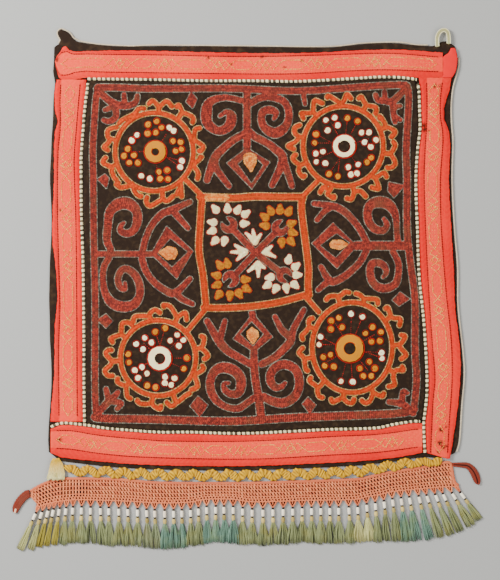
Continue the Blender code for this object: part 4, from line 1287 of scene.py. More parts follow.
LEAVES_PX = [
    [(243.5, 154.5), (250, 152.5), (256.5, 155), (256.5, 163), (251.5, 173), (244, 163)],
    [(158, 252.5), (168, 246), (176, 248), (178, 253), (175, 259), (167, 260)],
    [(349, 244.5), (340, 250), (331, 248), (329, 244), (333, 240), (342, 240)],
    [(252, 327), (258, 331), (259, 336), (253, 345), (247, 337), (247, 331)],
]
PETALS_PX = {
    "cream": [
        (214.5, 208), (227.5, 207), (238.5, 208.5), (247, 213), (246, 223.5), (211, 222),
        (210.5, 231.5), (214, 242), (224, 242.5), (268.5, 277.5), (266, 286), (275, 290),
        (286.5, 289.5), (296, 286), (298.5, 275), (297, 265.5), (289, 258),
    ],
    "amber": [
        (263.5, 216), (263.5, 225.5), (270, 209.5), (280, 208), (289.5, 210), (293, 223), (294, 233),
        (292, 242.5), (282, 244), (227, 262), (219, 264), (215, 275), (215.5, 285.5), (218, 296),
        (230, 297), (240, 295), (248, 289.5), (247, 279.5),
    ],
}
PETAL_REACH_PX = (2.4, 2.0)
PETAL_HALVES_PX = [4.0, 1.9]
PEACH_PATCHES_PX = [([(208, 197.4), (226, 197.8)], 3.4)]
print("rosettes:", list(ROSETTES_PX))


# %% [markdown]
# Every family of strokes becomes a field: at each point of a fine grid it holds how far inside the
# stroke the point lies, in millimetres. The edge of the embroidery is where the field is zero, and
# the rows of stitches follow its level lines, as a maker fills a shape from its outline inwards.

# %% Fields of the embroidery
GRID_LOW_PX = (82.0, 76.0)
GRID_HIGH_PX = (424.0, 432.0)
GRID_STEP_PX = 0.5
FIELD_REACH_PX = 3.0
OUTSIDE = -6.0
DEEPEST = 20.0
FAMILIES = ("red", "gold", "cream", "amber", "peach")
STROKE_PARTS = 4

grid_x = np.arange(GRID_LOW_PX[0], GRID_HIGH_PX[0], GRID_STEP_PX)
grid_y = np.arange(GRID_LOW_PX[1], GRID_HIGH_PX[1], GRID_STEP_PX)


def window(points, reach):
    """Return the slices of the grid around some points."""
    data = np.array(points, float)[:, :2]
    low = data.min(axis=0) - reach
    high = data.max(axis=0) + reach
    columns = slice(*np.searchsorted(grid_x, (low[0], high[0])))
    lines = slice(*np.searchsorted(grid_y, (low[1], high[1])))
    return lines, columns


def measure_line(start, stop, across, along):
    """Return the share of a line that is nearest to each grid point, and how far away it is."""
    run_x = stop[0] - start[0]
    run_y = stop[1] - start[1]
    share = (across - start[0]) * run_x + (along - start[1]) * run_y
    share = np.clip(share / max(run_x**2 + run_y**2, TINY), 0.0, 1.0)
    return share, np.hypot(across - start[0] - share * run_x, along - start[1] - share * run_y)


def add_stroke(field, points, half):
    """Add one stroke to a field, as the largest depth of its tapered pieces."""
    halves = [half] * len(points) if np.isscalar(half) else half
    rows = [(*point, value) for point, value in zip(points, halves)]
    rows = smooth_points(rows, STROKE_PARTS) if len(rows) > 2 else rows
    for start, stop in zip(rows, rows[1:]):
        lines, columns = window([start, stop], max(start[2], stop[2]) + FIELD_REACH_PX)
        share, away = measure_line(start, stop, *np.meshgrid(grid_x[columns], grid_y[lines]))
        depth = start[2] + (stop[2] - start[2]) * share - away
        field[lines, columns] = np.maximum(field[lines, columns], depth)


def polygon_depth(points, lines, columns):
    """Return how deep each grid point lies inside a polygon, negative outside."""
    across, along = np.meshgrid(grid_x[columns], grid_y[lines])
    nearest = np.full(across.shape, np.inf)
    inside = np.zeros(across.shape, bool)
    for start, stop in zip(points, points[1:] + points[:1]):
        nearest = np.minimum(nearest, measure_line(start, stop, across, along)[1])
        run_x = stop[0] - start[0]
        run_y = stop[1] - start[1]
        if run_y != 0:
            crosses = (start[1] > along) != (stop[1] > along)
            inside ^= crosses & (across < start[0] + run_x * (along - start[1]) / run_y)
    return np.where(inside, nearest, -nearest)


def add_polygon(field, points, hole=None):
    """Add a filled polygon to a field, with a hole in it where one is given."""
    lines, columns = window(points, FIELD_REACH_PX)
    depth = polygon_depth(points, lines, columns)
    if hole:
        depth = np.minimum(depth, -polygon_depth(hole, lines, columns))
    field[lines, columns] = np.maximum(field[lines, columns], depth)


def circle_points(middle, radii, count=48):
    """Return points around a circle or an oval, with the first point again at the end."""
    angles = np.linspace(0.0, 2 * pi, count + 1)
    return [(middle[0] + radii[0] * cos(a), middle[1] + radii[1] * sin(a)) for a in angles]


def unit_out(middle, place):
    """Return the direction from a middle to a place, and the distance."""
    away = dist(middle, place)
    return (place[0] - middle[0]) / away, (place[1] - middle[1]) / away, away


def empty_field():
    """Return a field with nothing in it."""
    return np.full((len(grid_y), len(grid_x)), OUTSIDE)


fields = {name: empty_field() for name in FAMILIES}
for points, half in RED_STROKES_PX:
    add_stroke(fields["red"], points, half)
for points in ARROW_HEADS_PX:
    add_polygon(fields["red"], points)
for points, hole in DIAMONDS_PX:
    add_polygon(fields["red"], points, hole)
for x, y, radius in CROSS_HEADS_PX:
    out_x, out_y, away = unit_out(CROSS_MIDDLE_PX, (x, y))
    notch = empty_field()
    reach = NOTCH_SHARE * radius
    add_stroke(notch, [(x + NOTCH_START_PX * out_x, y + NOTCH_START_PX * out_y),
                       (x + reach * out_x, y + reach * out_y)], NOTCH_HALVES_PX)
    head = empty_field()
    add_stroke(head, [(x, y), (x + 0.01, y)], radius)
    add_stroke(head, [CROSS_MIDDLE_PX, (x, y)], CROSS_ARM_HALF_PX)
    fields["red"] = np.maximum(fields["red"], np.minimum(head, -notch))
for middle, radii, horns in ROSETTES_PX.values():
    ring = circle_points(middle, (radii[0] + RING_HALF_PX, radii[1] + RING_HALF_PX))
    add_stroke(fields["gold"], ring, RING_HALF_PX)
    for root, first_arm, second_arm in horns:
        out_x = root[0] - middle[0]
        out_y = root[1] - middle[1]
        reach = (radii[0] + RING_HALF_PX) / hypot(out_x, out_y * radii[0] / radii[1])
        foot = (middle[0] + out_x * reach, middle[1] + out_y * reach)
        for arm in (first_arm, second_arm):
            line = [foot, root]
            for k, point in enumerate(arm):
                pull = HORN_PULL_PX[0] if k < len(arm) - 1 else HORN_PULL_PX[1]
                share = 1.0 - pull / dist(middle, point)
                line.append(tuple(m + (p - m) * share for m, p in zip(middle, point)))
            foot_half, arm_half, tip_half = HORN_HALVES_PX
            halves = [foot_half] * 2 + [arm_half] * (len(arm) - 1) + [tip_half]
            add_stroke(fields["gold"], line, halves)
for line in CONNECTORS_PX:
    add_stroke(fields["gold"], line, RING_HALF_PX)
for points, half in SQUARE_BAND_PX:
    add_stroke(fields["gold"], points, half)
for base, prongs in CROWNS_PX:
    for prong in prongs:
        add_stroke(fields["cream"], [base, prong], CROWN_HALVES_PX)
for colour, spots in PETALS_PX.items():
    for x, y in spots:
        head = min(CROSS_HEADS_PX, key=lambda item: dist(item[:2], (x, y)))
        out_x, out_y, away = unit_out(head[:2], (x, y))
        back, front = PETAL_REACH_PX
        ends = [(x - back * out_x, y - back * out_y), (x + front * out_x, y + front * out_y)]
        add_stroke(fields[colour], ends, PETAL_HALVES_PX)
for points in LEAVES_PX:
    add_polygon(fields["peach"], points)
for points, half in PEACH_PATCHES_PX:
    add_stroke(fields["peach"], points, half)
fields["red"] = np.minimum(fields["red"], -fields["gold"])
fields["cream"] = np.minimum(fields["cream"], -fields["red"])
spot_cm2 = (GRID_STEP_PX * PIXEL_MM / 10)**2
for name in fields:
    fields[name] = np.clip(fields[name] * PIXEL_MM, OUTSIDE, DEEPEST)
    print(name, "covers", round(float((fields[name] > 0).sum()) * spot_cm2), "cm2")


# %% [markdown]
# The centre is a sheet of dark felt with the form of the CAD piece. It is fine enough to carry the
# fields as attributes, so its material can change colour exactly at the edge of a motif, and the felt
# rises a little where the stitches cover it, as the thread adds its own thickness.

# %% Embroidered sheet
CENTRE_PARTS = (200, 208)
CENTRE_GROOVE = 2.3
CENTRE_TOP = 4.3
CENTRE_PUCKER = 0.25
FELT_FUZZ = 0.06
STITCH_RISE = 0.45
RISE_REACH = 1.6
EDGE_BLUR = (-0.1, 0.3)
MOTIF_LAYERS = [  # family, depth where the colour starts, colour
    ("red", 0.0, (74, 72, 66)), ("red", 0.9, (110, 60, 56)),
    ("gold", 0.0, (160, 124, 62)), ("gold", 0.8, (176, 92, 70)),
    ("cream", -0.5, (140, 40, 34)), ("cream", 0.3, (250, 234, 200)),
    ("amber", -0.5, (110, 30, 22)), ("amber", 0.3, (180, 126, 76)), ("peach", 0.0, (214, 132, 86)),
]
UPPER_Y = EDGING_LEFT[0][0]
LOWER_Y = EDGING_LEFT[-1][0]


def field_at(name, x, y):
    """Return a family's depth at places in millimetres, between the points of its grid."""
    px = MIDDLE_PX[0] + np.asarray(x) / PIXEL_MM
    py = MIDDLE_PX[1] - np.asarray(y) / PIXEL_MM
    column = np.clip((px - grid_x[0]) / GRID_STEP_PX, 0, len(grid_x) - 1.001)
    row = np.clip((py - grid_y[0]) / GRID_STEP_PX, 0, len(grid_y) - 1.001)
    c = column.astype(int)
    r = row.astype(int)
    u = column - c
    v = row - r
    data = fields[name]
    upper = data[r, c] * (1 - u) + data[r, c + 1] * u
    lower = data[r + 1, c] * (1 - u) + data[r + 1, c + 1] * u
    return upper * (1 - v) + lower * v


def centre_height(x, y):
    """Return the height of the embroidered face, with the rise of the stitches."""
    x = np.asarray(x, float)
    y = np.asarray(y, float)
    base = CENTRE_TOP + CENTRE_PUCKER * (np.sin(0.071 * x + 0.6) * np.sin(0.083 * y) - 1.0)
    cover = np.maximum.reduce([field_at(name, x, y) for name in fields])
    rise = np.clip(cover / RISE_REACH, 0.0, 1.0)
    fuzz = FELT_FUZZ * np.sin(1.9 * x + np.sin(1.3 * y)) * np.sin(2.1 * y + np.sin(1.7 * x))
    return base + STITCH_RISE * rise * rise * (3 - 2 * rise) + fuzz


def felt_and_thread_material(name):
    """Return felt that turns to the colours of the embroidery where its fields are above zero."""
    material = thread_material(name, (16, 11, 9), (56, 42, 32), (78, 64, 50), worn_share=0.4,
                               patch=190.0, bump=0.7)
    tree = material.node_tree
    for family, depth, colour in MOTIF_LAYERS:
        reader = number_read(tree, "depth_" + family)
        paint_over(material, between(tree, reader, depth + EDGE_BLUR[0], depth + EDGE_BLUR[1]), colour)
    return material


def make_centre():
    """Make the sheet as a closed grid between the four whipped edges."""
    columns, lines = CENTRE_PARTS
    us = np.linspace(0.0, 1.0, columns + 1)
    top = np.zeros((lines + 1, columns + 1, 3))
    for r in range(lines + 1):
        v = r / lines
        rough_y = LOWER_Y + (UPPER_Y - LOWER_Y) * v
        left = edge_line["left"](rough_y) + CENTRE_GROOVE
        right = edge_line["right"](rough_y) - CENTRE_GROOVE
        for c, u in enumerate(us):
            x = (1 - u) * left + u * right
            low = edge_line["bottom"](x) + CENTRE_GROOVE
            high = edge_line["top"](x) - CENTRE_GROOVE
            top[r, c] = (x, (1 - v) * low + v * high, 0.0)
    top[:, :, 2] = centre_height(top[:, :, 0], top[:, :, 1])
    points = top.reshape(-1, 3)
    index = np.arange(len(points)).reshape(lines + 1, columns + 1)
    corners = [index[:-1, :-1], index[:-1, 1:], index[1:, 1:], index[1:, :-1]]
    rim = np.concatenate([index[0, :], index[1:, -1], index[-1, -2::-1], index[-2:0:-1, 0]])
    feet = points[rim].copy()
    feet[:, 2] = BASE_HEIGHT
    shape = Shape()
    shape.points = np.concatenate([points, feet]).tolist()
    shape.tones = [0.5] * len(shape.points)
    shape.faces = np.stack(corners, axis=-1).reshape(-1, 4).tolist()
    count = len(rim)
    for i in range(count):
        j = (i + 1) % count
        shape.faces.append((rim[i], rim[j], len(points) + j, len(points) + i))
    shape.faces.append(tuple(range(len(points) + count - 1, len(points) - 1, -1)))
    piece = shape.make("embroidered_sheet", felt_and_thread_material("embroidered_felt"))
    spots = np.array(shape.points)
    for name in fields:
        add_numbers(piece, "depth_" + name, field_at(name, spots[:, 0], spots[:, 1]))
    return settle(piece, "embroidered_felt", "centre_felt")


centre_sheet = make_centre()


# %% [markdown]
# The rows of chain stitch follow the level lines of the fields. A line passes between two neighbouring
# grid points where the field crosses its depth between them. The first row is the outline in its own
# colour, and the next rows fill the motif. Thread wears and fades, so every stitch has its own tone.

# %% Rows of chain stitch
ROW_SPACING = 1.8
DEEPEST_ROW = 11.0
THREAD_LIFT = 0.10
PATCH_LIFT = 0.55


def level_rows(name, depth):
    """Return an object of bare edges along one level line of a field."""
    data = fields[name] - depth + 1e-7
    above = data > 0
    spots = {}
    points = []

    def crossing(r0, c0, r1, c1):
        key = (r0, c0, r1, c1)
        if key not in spots:
            first = data[r0, c0]
            share = first / (first - data[r1, c1])
            px = grid_x[c0] + (grid_x[c1] - grid_x[c0]) * share
            py = grid_y[r0] + (grid_y[r1] - grid_y[r0]) * share
            spots[key] = len(points)
            points.append((px, py))
        return spots[key]

    mixed = above[:-1, :-1].astype(int) + above[:-1, 1:] + above[1:, :-1] + above[1:, 1:]
    edges = []
    for r, c in np.argwhere((mixed > 0) & (mixed < 4)):
        r = int(r)
        c = int(c)
        found = []
        if above[r, c] != above[r, c + 1]:
            found.append(crossing(r, c, r, c + 1))
        if above[r, c + 1] != above[r + 1, c + 1]:
            found.append(crossing(r, c + 1, r + 1, c + 1))
        if above[r + 1, c] != above[r + 1, c + 1]:
            found.append(crossing(r + 1, c, r + 1, c + 1))
        if above[r, c] != above[r + 1, c]:
            found.append(crossing(r, c, r + 1, c))
        edges.extend(zip(found[::2], found[1::2]))
    if not points:
        return None
    spots_mm = np.array(from_photo(points))
    heights = centre_height(spots_mm[:, 0], spots_mm[:, 1]) + THREAD_LIFT
    if name == "peach":
        heights = heights + PATCH_LIFT
    mesh = bpy.data.meshes.new("level")
    mesh.from_pydata((np.column_stack([spots_mm, heights]) * MM).tolist(), edges, [])
    return add_object("level", mesh)


RED_THREAD = thread_material("red_thread", (108, 56, 52), (184, 98, 88), (130, 96, 77),
                             worn_share=0.6, patch=55.0)
ORANGE_THREAD = thread_material("orange_thread", (166, 80, 64), (216, 108, 84), (196, 114, 84),
                                worn_share=0.4, patch=50.0)
BLUE_OUTLINE = thread_material("grey_blue_thread", (88, 94, 92), (178, 178, 162), (120, 96, 82),
                               worn_share=0.5, patch=60.0)
GOLD_OUTLINE = thread_material("gold_thread", (150, 130, 92), (222, 206, 166), (170, 158, 120),
                               worn_share=0.5, patch=60.0)
WHITE_THREAD = thread_material("white_thread", (250, 226, 180), (255, 250, 218), (252, 214, 172),
                               worn_share=0.3, patch=90.0)
AMBER_THREAD = thread_material("amber_thread", (169, 118, 71), (207, 155, 90), (199, 140, 88),
                               worn_share=0.4, patch=90.0)
PINK_RIM = thread_material("pink_rim_thread", (108, 26, 26), (206, 80, 66), (120, 50, 38),
                           worn_share=0.5, patch=70.0)
PEACH_WOOL = thread_material("peach_wool", (214, 124, 80), (252, 196, 140), (236, 160, 100))


def join_pieces(name, pieces):
    """Join several pieces into one and return it."""
    bpy.ops.object.select_all(action="DESELECT")
    for piece in pieces:
        piece.select_set(True)
    bpy.context.view_layer.objects.active = pieces[0]
    bpy.ops.object.join()
    pieces[0].name = name
    return pieces[0]


ROW_PLANS = [  # family, outline material and depth, fill material and first depth, seed
    ("red", BLUE_OUTLINE, 0.5, RED_THREAD, 1.75, 21), ("gold", GOLD_OUTLINE, 0.5, ORANGE_THREAD, 1.75, 31),
    ("cream", PINK_RIM, -0.45, WHITE_THREAD, 0.8, 41), ("amber", PINK_RIM, -0.45, AMBER_THREAD, 0.8, 46),
    ("peach", None, None, PEACH_WOOL, 0.7, 51),
]
EMBROIDERY = []
for family, outline_material, outline_depth, fill_material, depth, seed in ROW_PLANS:
    if outline_material:
        outline = sew(family + "_outline_stitches", level_rows(family, outline_depth), FINE_CHAIN,
                      outline_material, spacing=2.0, size=(0.72, 0.9), seed=seed)
        EMBROIDERY.append(settle(outline, "embroidered_felt"))
    parts = []
    while depth < DEEPEST_ROW:
        rows = level_rows(family, depth)
        if rows is None:
            break
        parts.append(sew(family + "_row", rows, CHAIN, fill_material, spacing=2.5, size=(0.85, 1.1),
                         seed=seed + len(parts)))
        depth += ROW_SPACING
    filling = join_pieces(family + "_fill_stitches", parts)
    EMBROIDERY.append(settle(filling, "embroidered_felt"))


# %% [markdown]
# Small round dots cluster inside the rosettes. Each dot is a thread laid in a tight spiral, with a
# thin pink thread around it. Thin red rows run out to them from the eye ring in the rosette's middle,
# which is a wide spiral of gold or cream thread. A spiral tube shows each turn of the real thread.

# %% Dots, eye rings and stems
DOTS_PX = {
    "orange": [
        (148, 125), (157, 121), (162, 127.5), (156, 132.5), (148, 133.5), (173, 141), (181, 142),
        (182, 149), (176, 151), (159, 172), (167, 170.5), (168, 179), (160, 179), (128, 149),
        (124, 156), (134, 155), (129, 163), (138, 163), (331, 321), (339, 318), (342, 327), (331, 329),
        (365.5, 333), (372.5, 327), (380.5, 332), (380, 341), (371.5, 341.5), (323.5, 357),
        (330.5, 355), (325, 366), (333.5, 366.5), (369, 361.5), (360, 368.5), (375, 368), (363, 376),
        (371.5, 376), (347.5, 118), (357.5, 121.5), (316, 134), (314.5, 143), (371.5, 157.5),
        (367, 162), (329, 174), (337.5, 176.5), (155.5, 332), (165, 328), (128.5, 354), (129, 362),
        (187, 358), (184, 368.5), (147.5, 385.5), (155.5, 387.5),
    ],
    "white": [
        (137, 135), (132, 140.5), (169, 127.5), (174, 131), (182, 161), (180, 167), (141, 176),
        (150, 179), (326, 120.5), (334.5, 117.5), (337.5, 125), (327.5, 130), (361.5, 133), (369, 132),
        (375.5, 140), (364.5, 142.5), (371, 147), (348, 167), (358, 165), (357, 173.5), (351, 175),
        (315.5, 153.5), (323, 151.5), (316.5, 162), (325, 163.5), (136.5, 344), (145, 338),
        (151.5, 343), (143, 349), (170.5, 341), (177.5, 335), (183.5, 340), (178.5, 346),
        (134.5, 370.5), (142, 367), (147, 373.5), (138, 378), (165.5, 377), (175, 378), (164.5, 383),
        (171.5, 385), (351.5, 314), (362.5, 316.5), (321, 337), (319.5, 344.5), (381.5, 352.5),
        (382, 358), (341, 381), (352.5, 382),
    ],
}
EYES_PX = [  # middle, outer radius, radius of the hole, colour
    ((155.5, 151.8), 11.5, 4, "orange"), ((344.3, 146.3), 12, 6.3, "white"),
    ((159.8, 358.5), 12.5, 5.6, "white"), ((350, 348.5), 14.5, 6.3, "orange"),
]
DOT_RADIUS = 4.1
DOT_HOLE = 0.35
SPIRAL_THREAD = 0.62
SPIRAL_LIFT = 0.3
SPIRAL_CROWN = 0.25
TURN_SPACING = 1.15
TURN_PARTS = 13
RIM_THREAD = 0.55
EYE_RIM_THREAD = 0.65
CLUSTER_GAP_PX = 10.5
DOT_MATERIALS = {"orange": AMBER_THREAD, "white": WHITE_THREAD}


def spiral(middle, outer, inner, phase):
    """Return points of a flat spiral of thread on the embroidered face, in millimetres."""
    turns = max(1.0, (outer - inner) / TURN_SPACING)
    shares = np.linspace(0.0, 1.0, int(turns * TURN_PARTS) + 4)
    angles = phase + 2 * pi * turns * shares
    radii = outer + (inner - outer) * shares
    x = middle[0] + radii * np.cos(angles)
    y = middle[1] + radii * np.sin(angles)
    z = centre_height(x, y) + SPIRAL_LIFT + SPIRAL_CROWN * (1.0 - radii / outer)
    return np.column_stack([x, y, z])


def add_rim(middle, radius, parts, lift, thread_radius, tone):
    """Lay a ring of thread around a dot or an eye."""
    ring = circle_points(middle, (radius, radius), parts)
    heights = centre_height([p[0] for p in ring], [p[1] for p in ring]) + lift
    rims.tube([(*p, h) for p, h in zip(ring, heights)], thread_radius, sides=5, tone=tone, ends=False)


random.seed(23)
spirals = {"orange": Shape(), "white": Shape()}
rims = Shape()
for colour, spots in DOTS_PX.items():
    for x, y in from_photo(spots):
        size = DOT_RADIUS * draw(0.92, 1.08)
        middle = (x + draw(-0.3, 0.3), y + draw(-0.3, 0.3))
        path = spiral(middle, size - 0.7, DOT_HOLE, draw(0.0, 6.28))
        spirals[colour].tube(path, SPIRAL_THREAD, sides=5, tone=draw(0.3, 1.0), ends=False)
        add_rim(middle, size + 0.2, 14, 0.1, RIM_THREAD, draw(0.0, 0.6))
for middle_px, outer, inner, colour in EYES_PX:
    middle = from_photo([middle_px])[0]
    path = spiral(middle, outer * PIXEL_MM - 1.0, inner * PIXEL_MM, 0.4)
    spirals[colour].tube(path, SPIRAL_THREAD + 0.1, sides=6, tone=0.55, ends=False)
    for reach in (outer, inner):
        add_rim(middle, reach * PIXEL_MM, 36, 0.25, EYE_RIM_THREAD, 0.4)
for colour, shape in spirals.items():
    dots = shape.make(colour + "_spiral_dots", DOT_MATERIALS[colour])
    EMBROIDERY.append(settle(dots, "embroidered_felt"))
EMBROIDERY.append(settle(rims.make("dot_rims", PINK_RIM), "embroidered_felt"))

clusters = []
for spots in DOTS_PX.values():
    for spot_px in spots:
        near = [group for group in clusters
                if min(dist(spot_px, other) for other in group) < CLUSTER_GAP_PX]
        merged = [spot_px] + [other for group in near for other in group]
        clusters = [group for group in clusters if group not in near] + [merged]
print("clusters of dots:", len(clusters))
stem_lines = []
for group in clusters:
    stop = np.mean(np.array(group, float), axis=0)
    middle_px, outer, inner, colour = min(EYES_PX, key=lambda eye: dist(eye[0], stop))
    share = (outer + 0.3) / dist(middle_px, stop)
    start = np.array(middle_px) + (stop - np.array(middle_px)) * share
    tips = [stop] if len(group) > 3 else [np.array(other) for other in group]
    for tip in tips:
        line = even_points(from_photo([start, tip]), 1.5)
        heights = centre_height(line[:, 0], line[:, 1]) + 0.05
        stem_lines.append(np.column_stack([line, heights]))
stems = sew("stem_stitches", stem_lines, FINE_CHAIN, PINK_RIM, spacing=2.3, size=(0.55, 0.75), seed=61)
EMBROIDERY.append(settle(stems, "embroidered_felt"))


# %% [markdown]
# The hanging loop is a narrow band of cloth turned on itself, with a pale cord along both edges. Each
# tie is a flat tape with stitched edges. The right one is doubled, so a dark slit shows along it, and
# the left one has a pale worn tip. All are swept along smooth lines, as a tape keeps its width.

# %% Loop and ties
LOOP_LINE = [(228, 258.5), (227.6, 264), (228.2, 271), (231.5, 276.8), (236.5, 278.8),
             (240.6, 276.2), (242, 270), (242.2, 262)]
TIE_LEFT_LINE = [(-281.9, -301, 9), (-285, -302, 10.5), (-290.5, -306.3, 10.5),
                 (-295.5, -312.5, 10.5), (-299, -319, 9.5), (-300.5, -325, 6)]
TIE_RIGHT_LINE = [(246.7, -264.8, 4.5), (258, -265.3, 6.5), (266.5, -266.5, 8),
                  (272.5, -272, 9.5), (276.5, -279.5, 10), (278.5, -286.5, 8),
                  (278, -289.5, 4.5)]
LOOP_HEIGHT = 3.5
LOOP_HALF = 2.3
LOOP_RIM_OFFSET = 2.0
TIE_HEIGHT = 1.15
SEAM_SHARES = (-0.72, -0.38, 0.38, 0.72)
SEAM_RADIUS = 0.55
TAPE = thread_material("red_tape", (78, 40, 36), (140, 78, 68), (124, 90, 78), patch=60.0)
DARK_SLIT = thread_material("dark_slit", (40, 16, 14), (84, 32, 26), (60, 30, 26))
TAPE_TIP = thread_material("pale_tip", (170, 130, 110), (232, 206, 186), (190, 150, 130))

loop_line = even_points(smooth_points(LOOP_LINE, 4), 1.0)
loop_shape = Shape()
loop_shape.tube([(x, y, LOOP_HEIGHT) for x, y in loop_line], LOOP_HALF, sides=12, flat=0.45, tone=0.15)
for offset in (-LOOP_RIM_OFFSET, LOOP_RIM_OFFSET):
    rim_line = moved_sideways(loop_line, offset)
    loop_shape.tube([(x, y, LOOP_HEIGHT + 0.7) for x, y in rim_line], 0.6, sides=8, lobes=2,
                    twist=1.7, tone=1.0)
hanging_loop = settle(loop_shape.make("hanging_loop_band", LOOP_THREAD), "pale_cord", "loop_right")

TIES = []
for node_name, rows in {"tie_left": TIE_LEFT_LINE, "tie_right": TIE_RIGHT_LINE}.items():
    fine = even_points(smooth_points(rows, 5), 0.9)
    tie_line = fine[:, :2]
    halves = 0.5 * fine[:, 2] * (1.0 + 0.04 * np.sin(1.7 * np.arange(len(fine))))
    tape = Shape()
    tape.tube([(x, y, TIE_HEIGHT) for x, y in tie_line], halves, sides=14, flat=0.22, tone=0.45,
              ends=False)
    seams = Shape()
    sideways = moved_sideways(tie_line, 1.0) - tie_line
    for share in SEAM_SHARES:
        line = tie_line + sideways * (share * halves)[:, None]
        seams.tube([(x, y, TIE_HEIGHT + 0.95 - 0.5 * abs(share)) for x, y in line[1:-1]], SEAM_RADIUS,
                   sides=6, lobes=2, twist=1.5, tone=0.9)
    settle(seams.make(node_name + "_tape_seams", TAPE), "red_tape")
    TIES.append(settle(tape.make(node_name + "_tape", TAPE), "red_tape", node_name))
    middle = Shape()
    if node_name == "tie_left":
        middle.tube([(x, y, TIE_HEIGHT + 0.8) for x, y in tie_line[-7:]], 1.6, sides=8, flat=0.4, tone=0.7)
        settle(middle.make("tie_left_tip", TAPE_TIP), "red_tape")
    else:
        middle.tube([(x, y, TIE_HEIGHT + 0.9) for x, y in tie_line[3:-4]], 0.7, sides=6, tone=0.2)
        settle(middle.make("tie_right_slit", DARK_SLIT), "red_tape")


# %% [markdown]
# A gold braid is sewn down in a zigzag below the border. Gathered braid makes soft lobes, so the
# band's section swells and sinks along its length, and its edges move in and out. Its hollows and
# sides are painted darker than its crowns, as painted shade. Its frayed end hangs as a fan of loose
# strands at the lower left.

# %% Zigzag ribbon and its frayed end
RIBBON_LINE = [  # x, y
    (-236, -271.5), (-194, -273.5), (-156, -276), (-81, -278), (-6, -278),
    (56, -276.5), (94, -275), (131, -272.5), (156, -269), (181, -264.6),
    (206, -262.3), (220, -261.2), (234, -262.3),
]
RIBBON_HALF = 4.6
RIBBON_PITCH = 22.0
RIBBON_SWING = 3.2
RIBBON_CALM_FROM = 192.0
RIBBON_BASE = 2.3
RIBBON_STEP = 0.6
RIBBON_PARTS = 14
LOBE_RISE = 0.3
EDGE_SWING = 0.24
GATHER_PITCH = 3.3
GATHER_RISE = 1.3
GATHER_PAINTED_SHADE = 0.55
END_CROWN = 1.5
END_SPREAD = 0.25
RIBBON_GOLD = thread_material("gold_braid", (134, 99, 57), (215, 178, 97), (186, 147, 86),
                              worn_share=0.4, patch=80.0, roughness=0.6)
RIBBON_END_ROWS = [  # y, left x, right x
    (-257, -252.5, -245.5), (-263, -255.5, -241), (-270, -257, -239),
    (-278, -259, -238), (-284, -261, -238.5),
]
END_STRANDS = 30
END_PARTS = 12
RIBBON_END_THREAD = thread_material("frayed_braid", (202, 165, 91), (213, 207, 167), (140, 130, 60),
                                    worn_share=0.5, patch=160.0)

ribbon_middle = line_through(RIBBON_LINE)
ribbon_start = RIBBON_LINE[0][0]
ribbon_line = []
for x in np.arange(ribbon_start, RIBBON_LINE[-1][0], 0.9):
    calm = 0.5 if x > RIBBON_CALM_FROM else 1.0
    swing = calm * RIBBON_SWING * sin(2 * pi * (x - ribbon_start) / RIBBON_PITCH)
    ribbon_line.append((x, ribbon_middle(x) + swing))
ribbon_line = even_points(ribbon_line, RIBBON_STEP)
ribbon_side = moved_sideways(ribbon_line, 1.0) - ribbon_line
ribbon = Shape()
rings = []
tones = []
for i, (spot, side) in enumerate(zip(ribbon_line, ribbon_side)):
    run = RIBBON_STEP * i
    lobe = sin(2 * pi * (spot[0] - ribbon_start) / (0.5 * RIBBON_PITCH) + 0.8)
    half = RIBBON_HALF * (1.0 + 0.10 * lobe + 0.10 * sin(0.61 * run + 2.0 * sin(0.13 * run)))
    turn = 1.6 * sin(0.17 * run) + 1.2 * sin(0.071 * run + 1.0)
    ring = []
    tone = []
    for k in range(RIBBON_PARTS + 1):
        across = -1.0 + 2.0 * k / RIBBON_PARTS
        gather = sin(2 * pi * run / GATHER_PITCH + turn * across + 1.4 * sin(0.33 * run))
        gather = 0.6 * gather + 0.4 * sin(1.3 * run + 3.1 * across + 2.0 * sin(0.45 * run))
        arch = max(0.0, 1.0 - across**4)**0.5
        height = RIBBON_BASE + 0.4 + arch * (0.8 + LOBE_RISE * lobe + 0.5 * GATHER_RISE * (1.0 + gather))
        edge = half * across * (1.0 + EDGE_SWING * gather * abs(across))
        ring.append((spot[0] + side[0] * edge, spot[1] + side[1] * edge, height))
        # Painted shade: the tone rises and falls with the height, darker in the hollows of the gathers and lobes and
        # lighter on their crowns.
        tone.append(0.5 + GATHER_PAINTED_SHADE * gather + 0.12 * lobe)
    # Painted shade: the sides that drop to the base get a dark tone.
    for across in (1.0, -1.0):
        ring.append((spot[0] + side[0] * half * across, spot[1] + side[1] * half * across, RIBBON_BASE))
        tone.append(0.1)
    rings.append(ring)
    tones.append(tone)
ribbon.rings(rings, tones=tones)
gold_ribbon = settle(ribbon.make("gathered_ribbon", RIBBON_GOLD), "yellow_braid", "zigzag_ribbon")

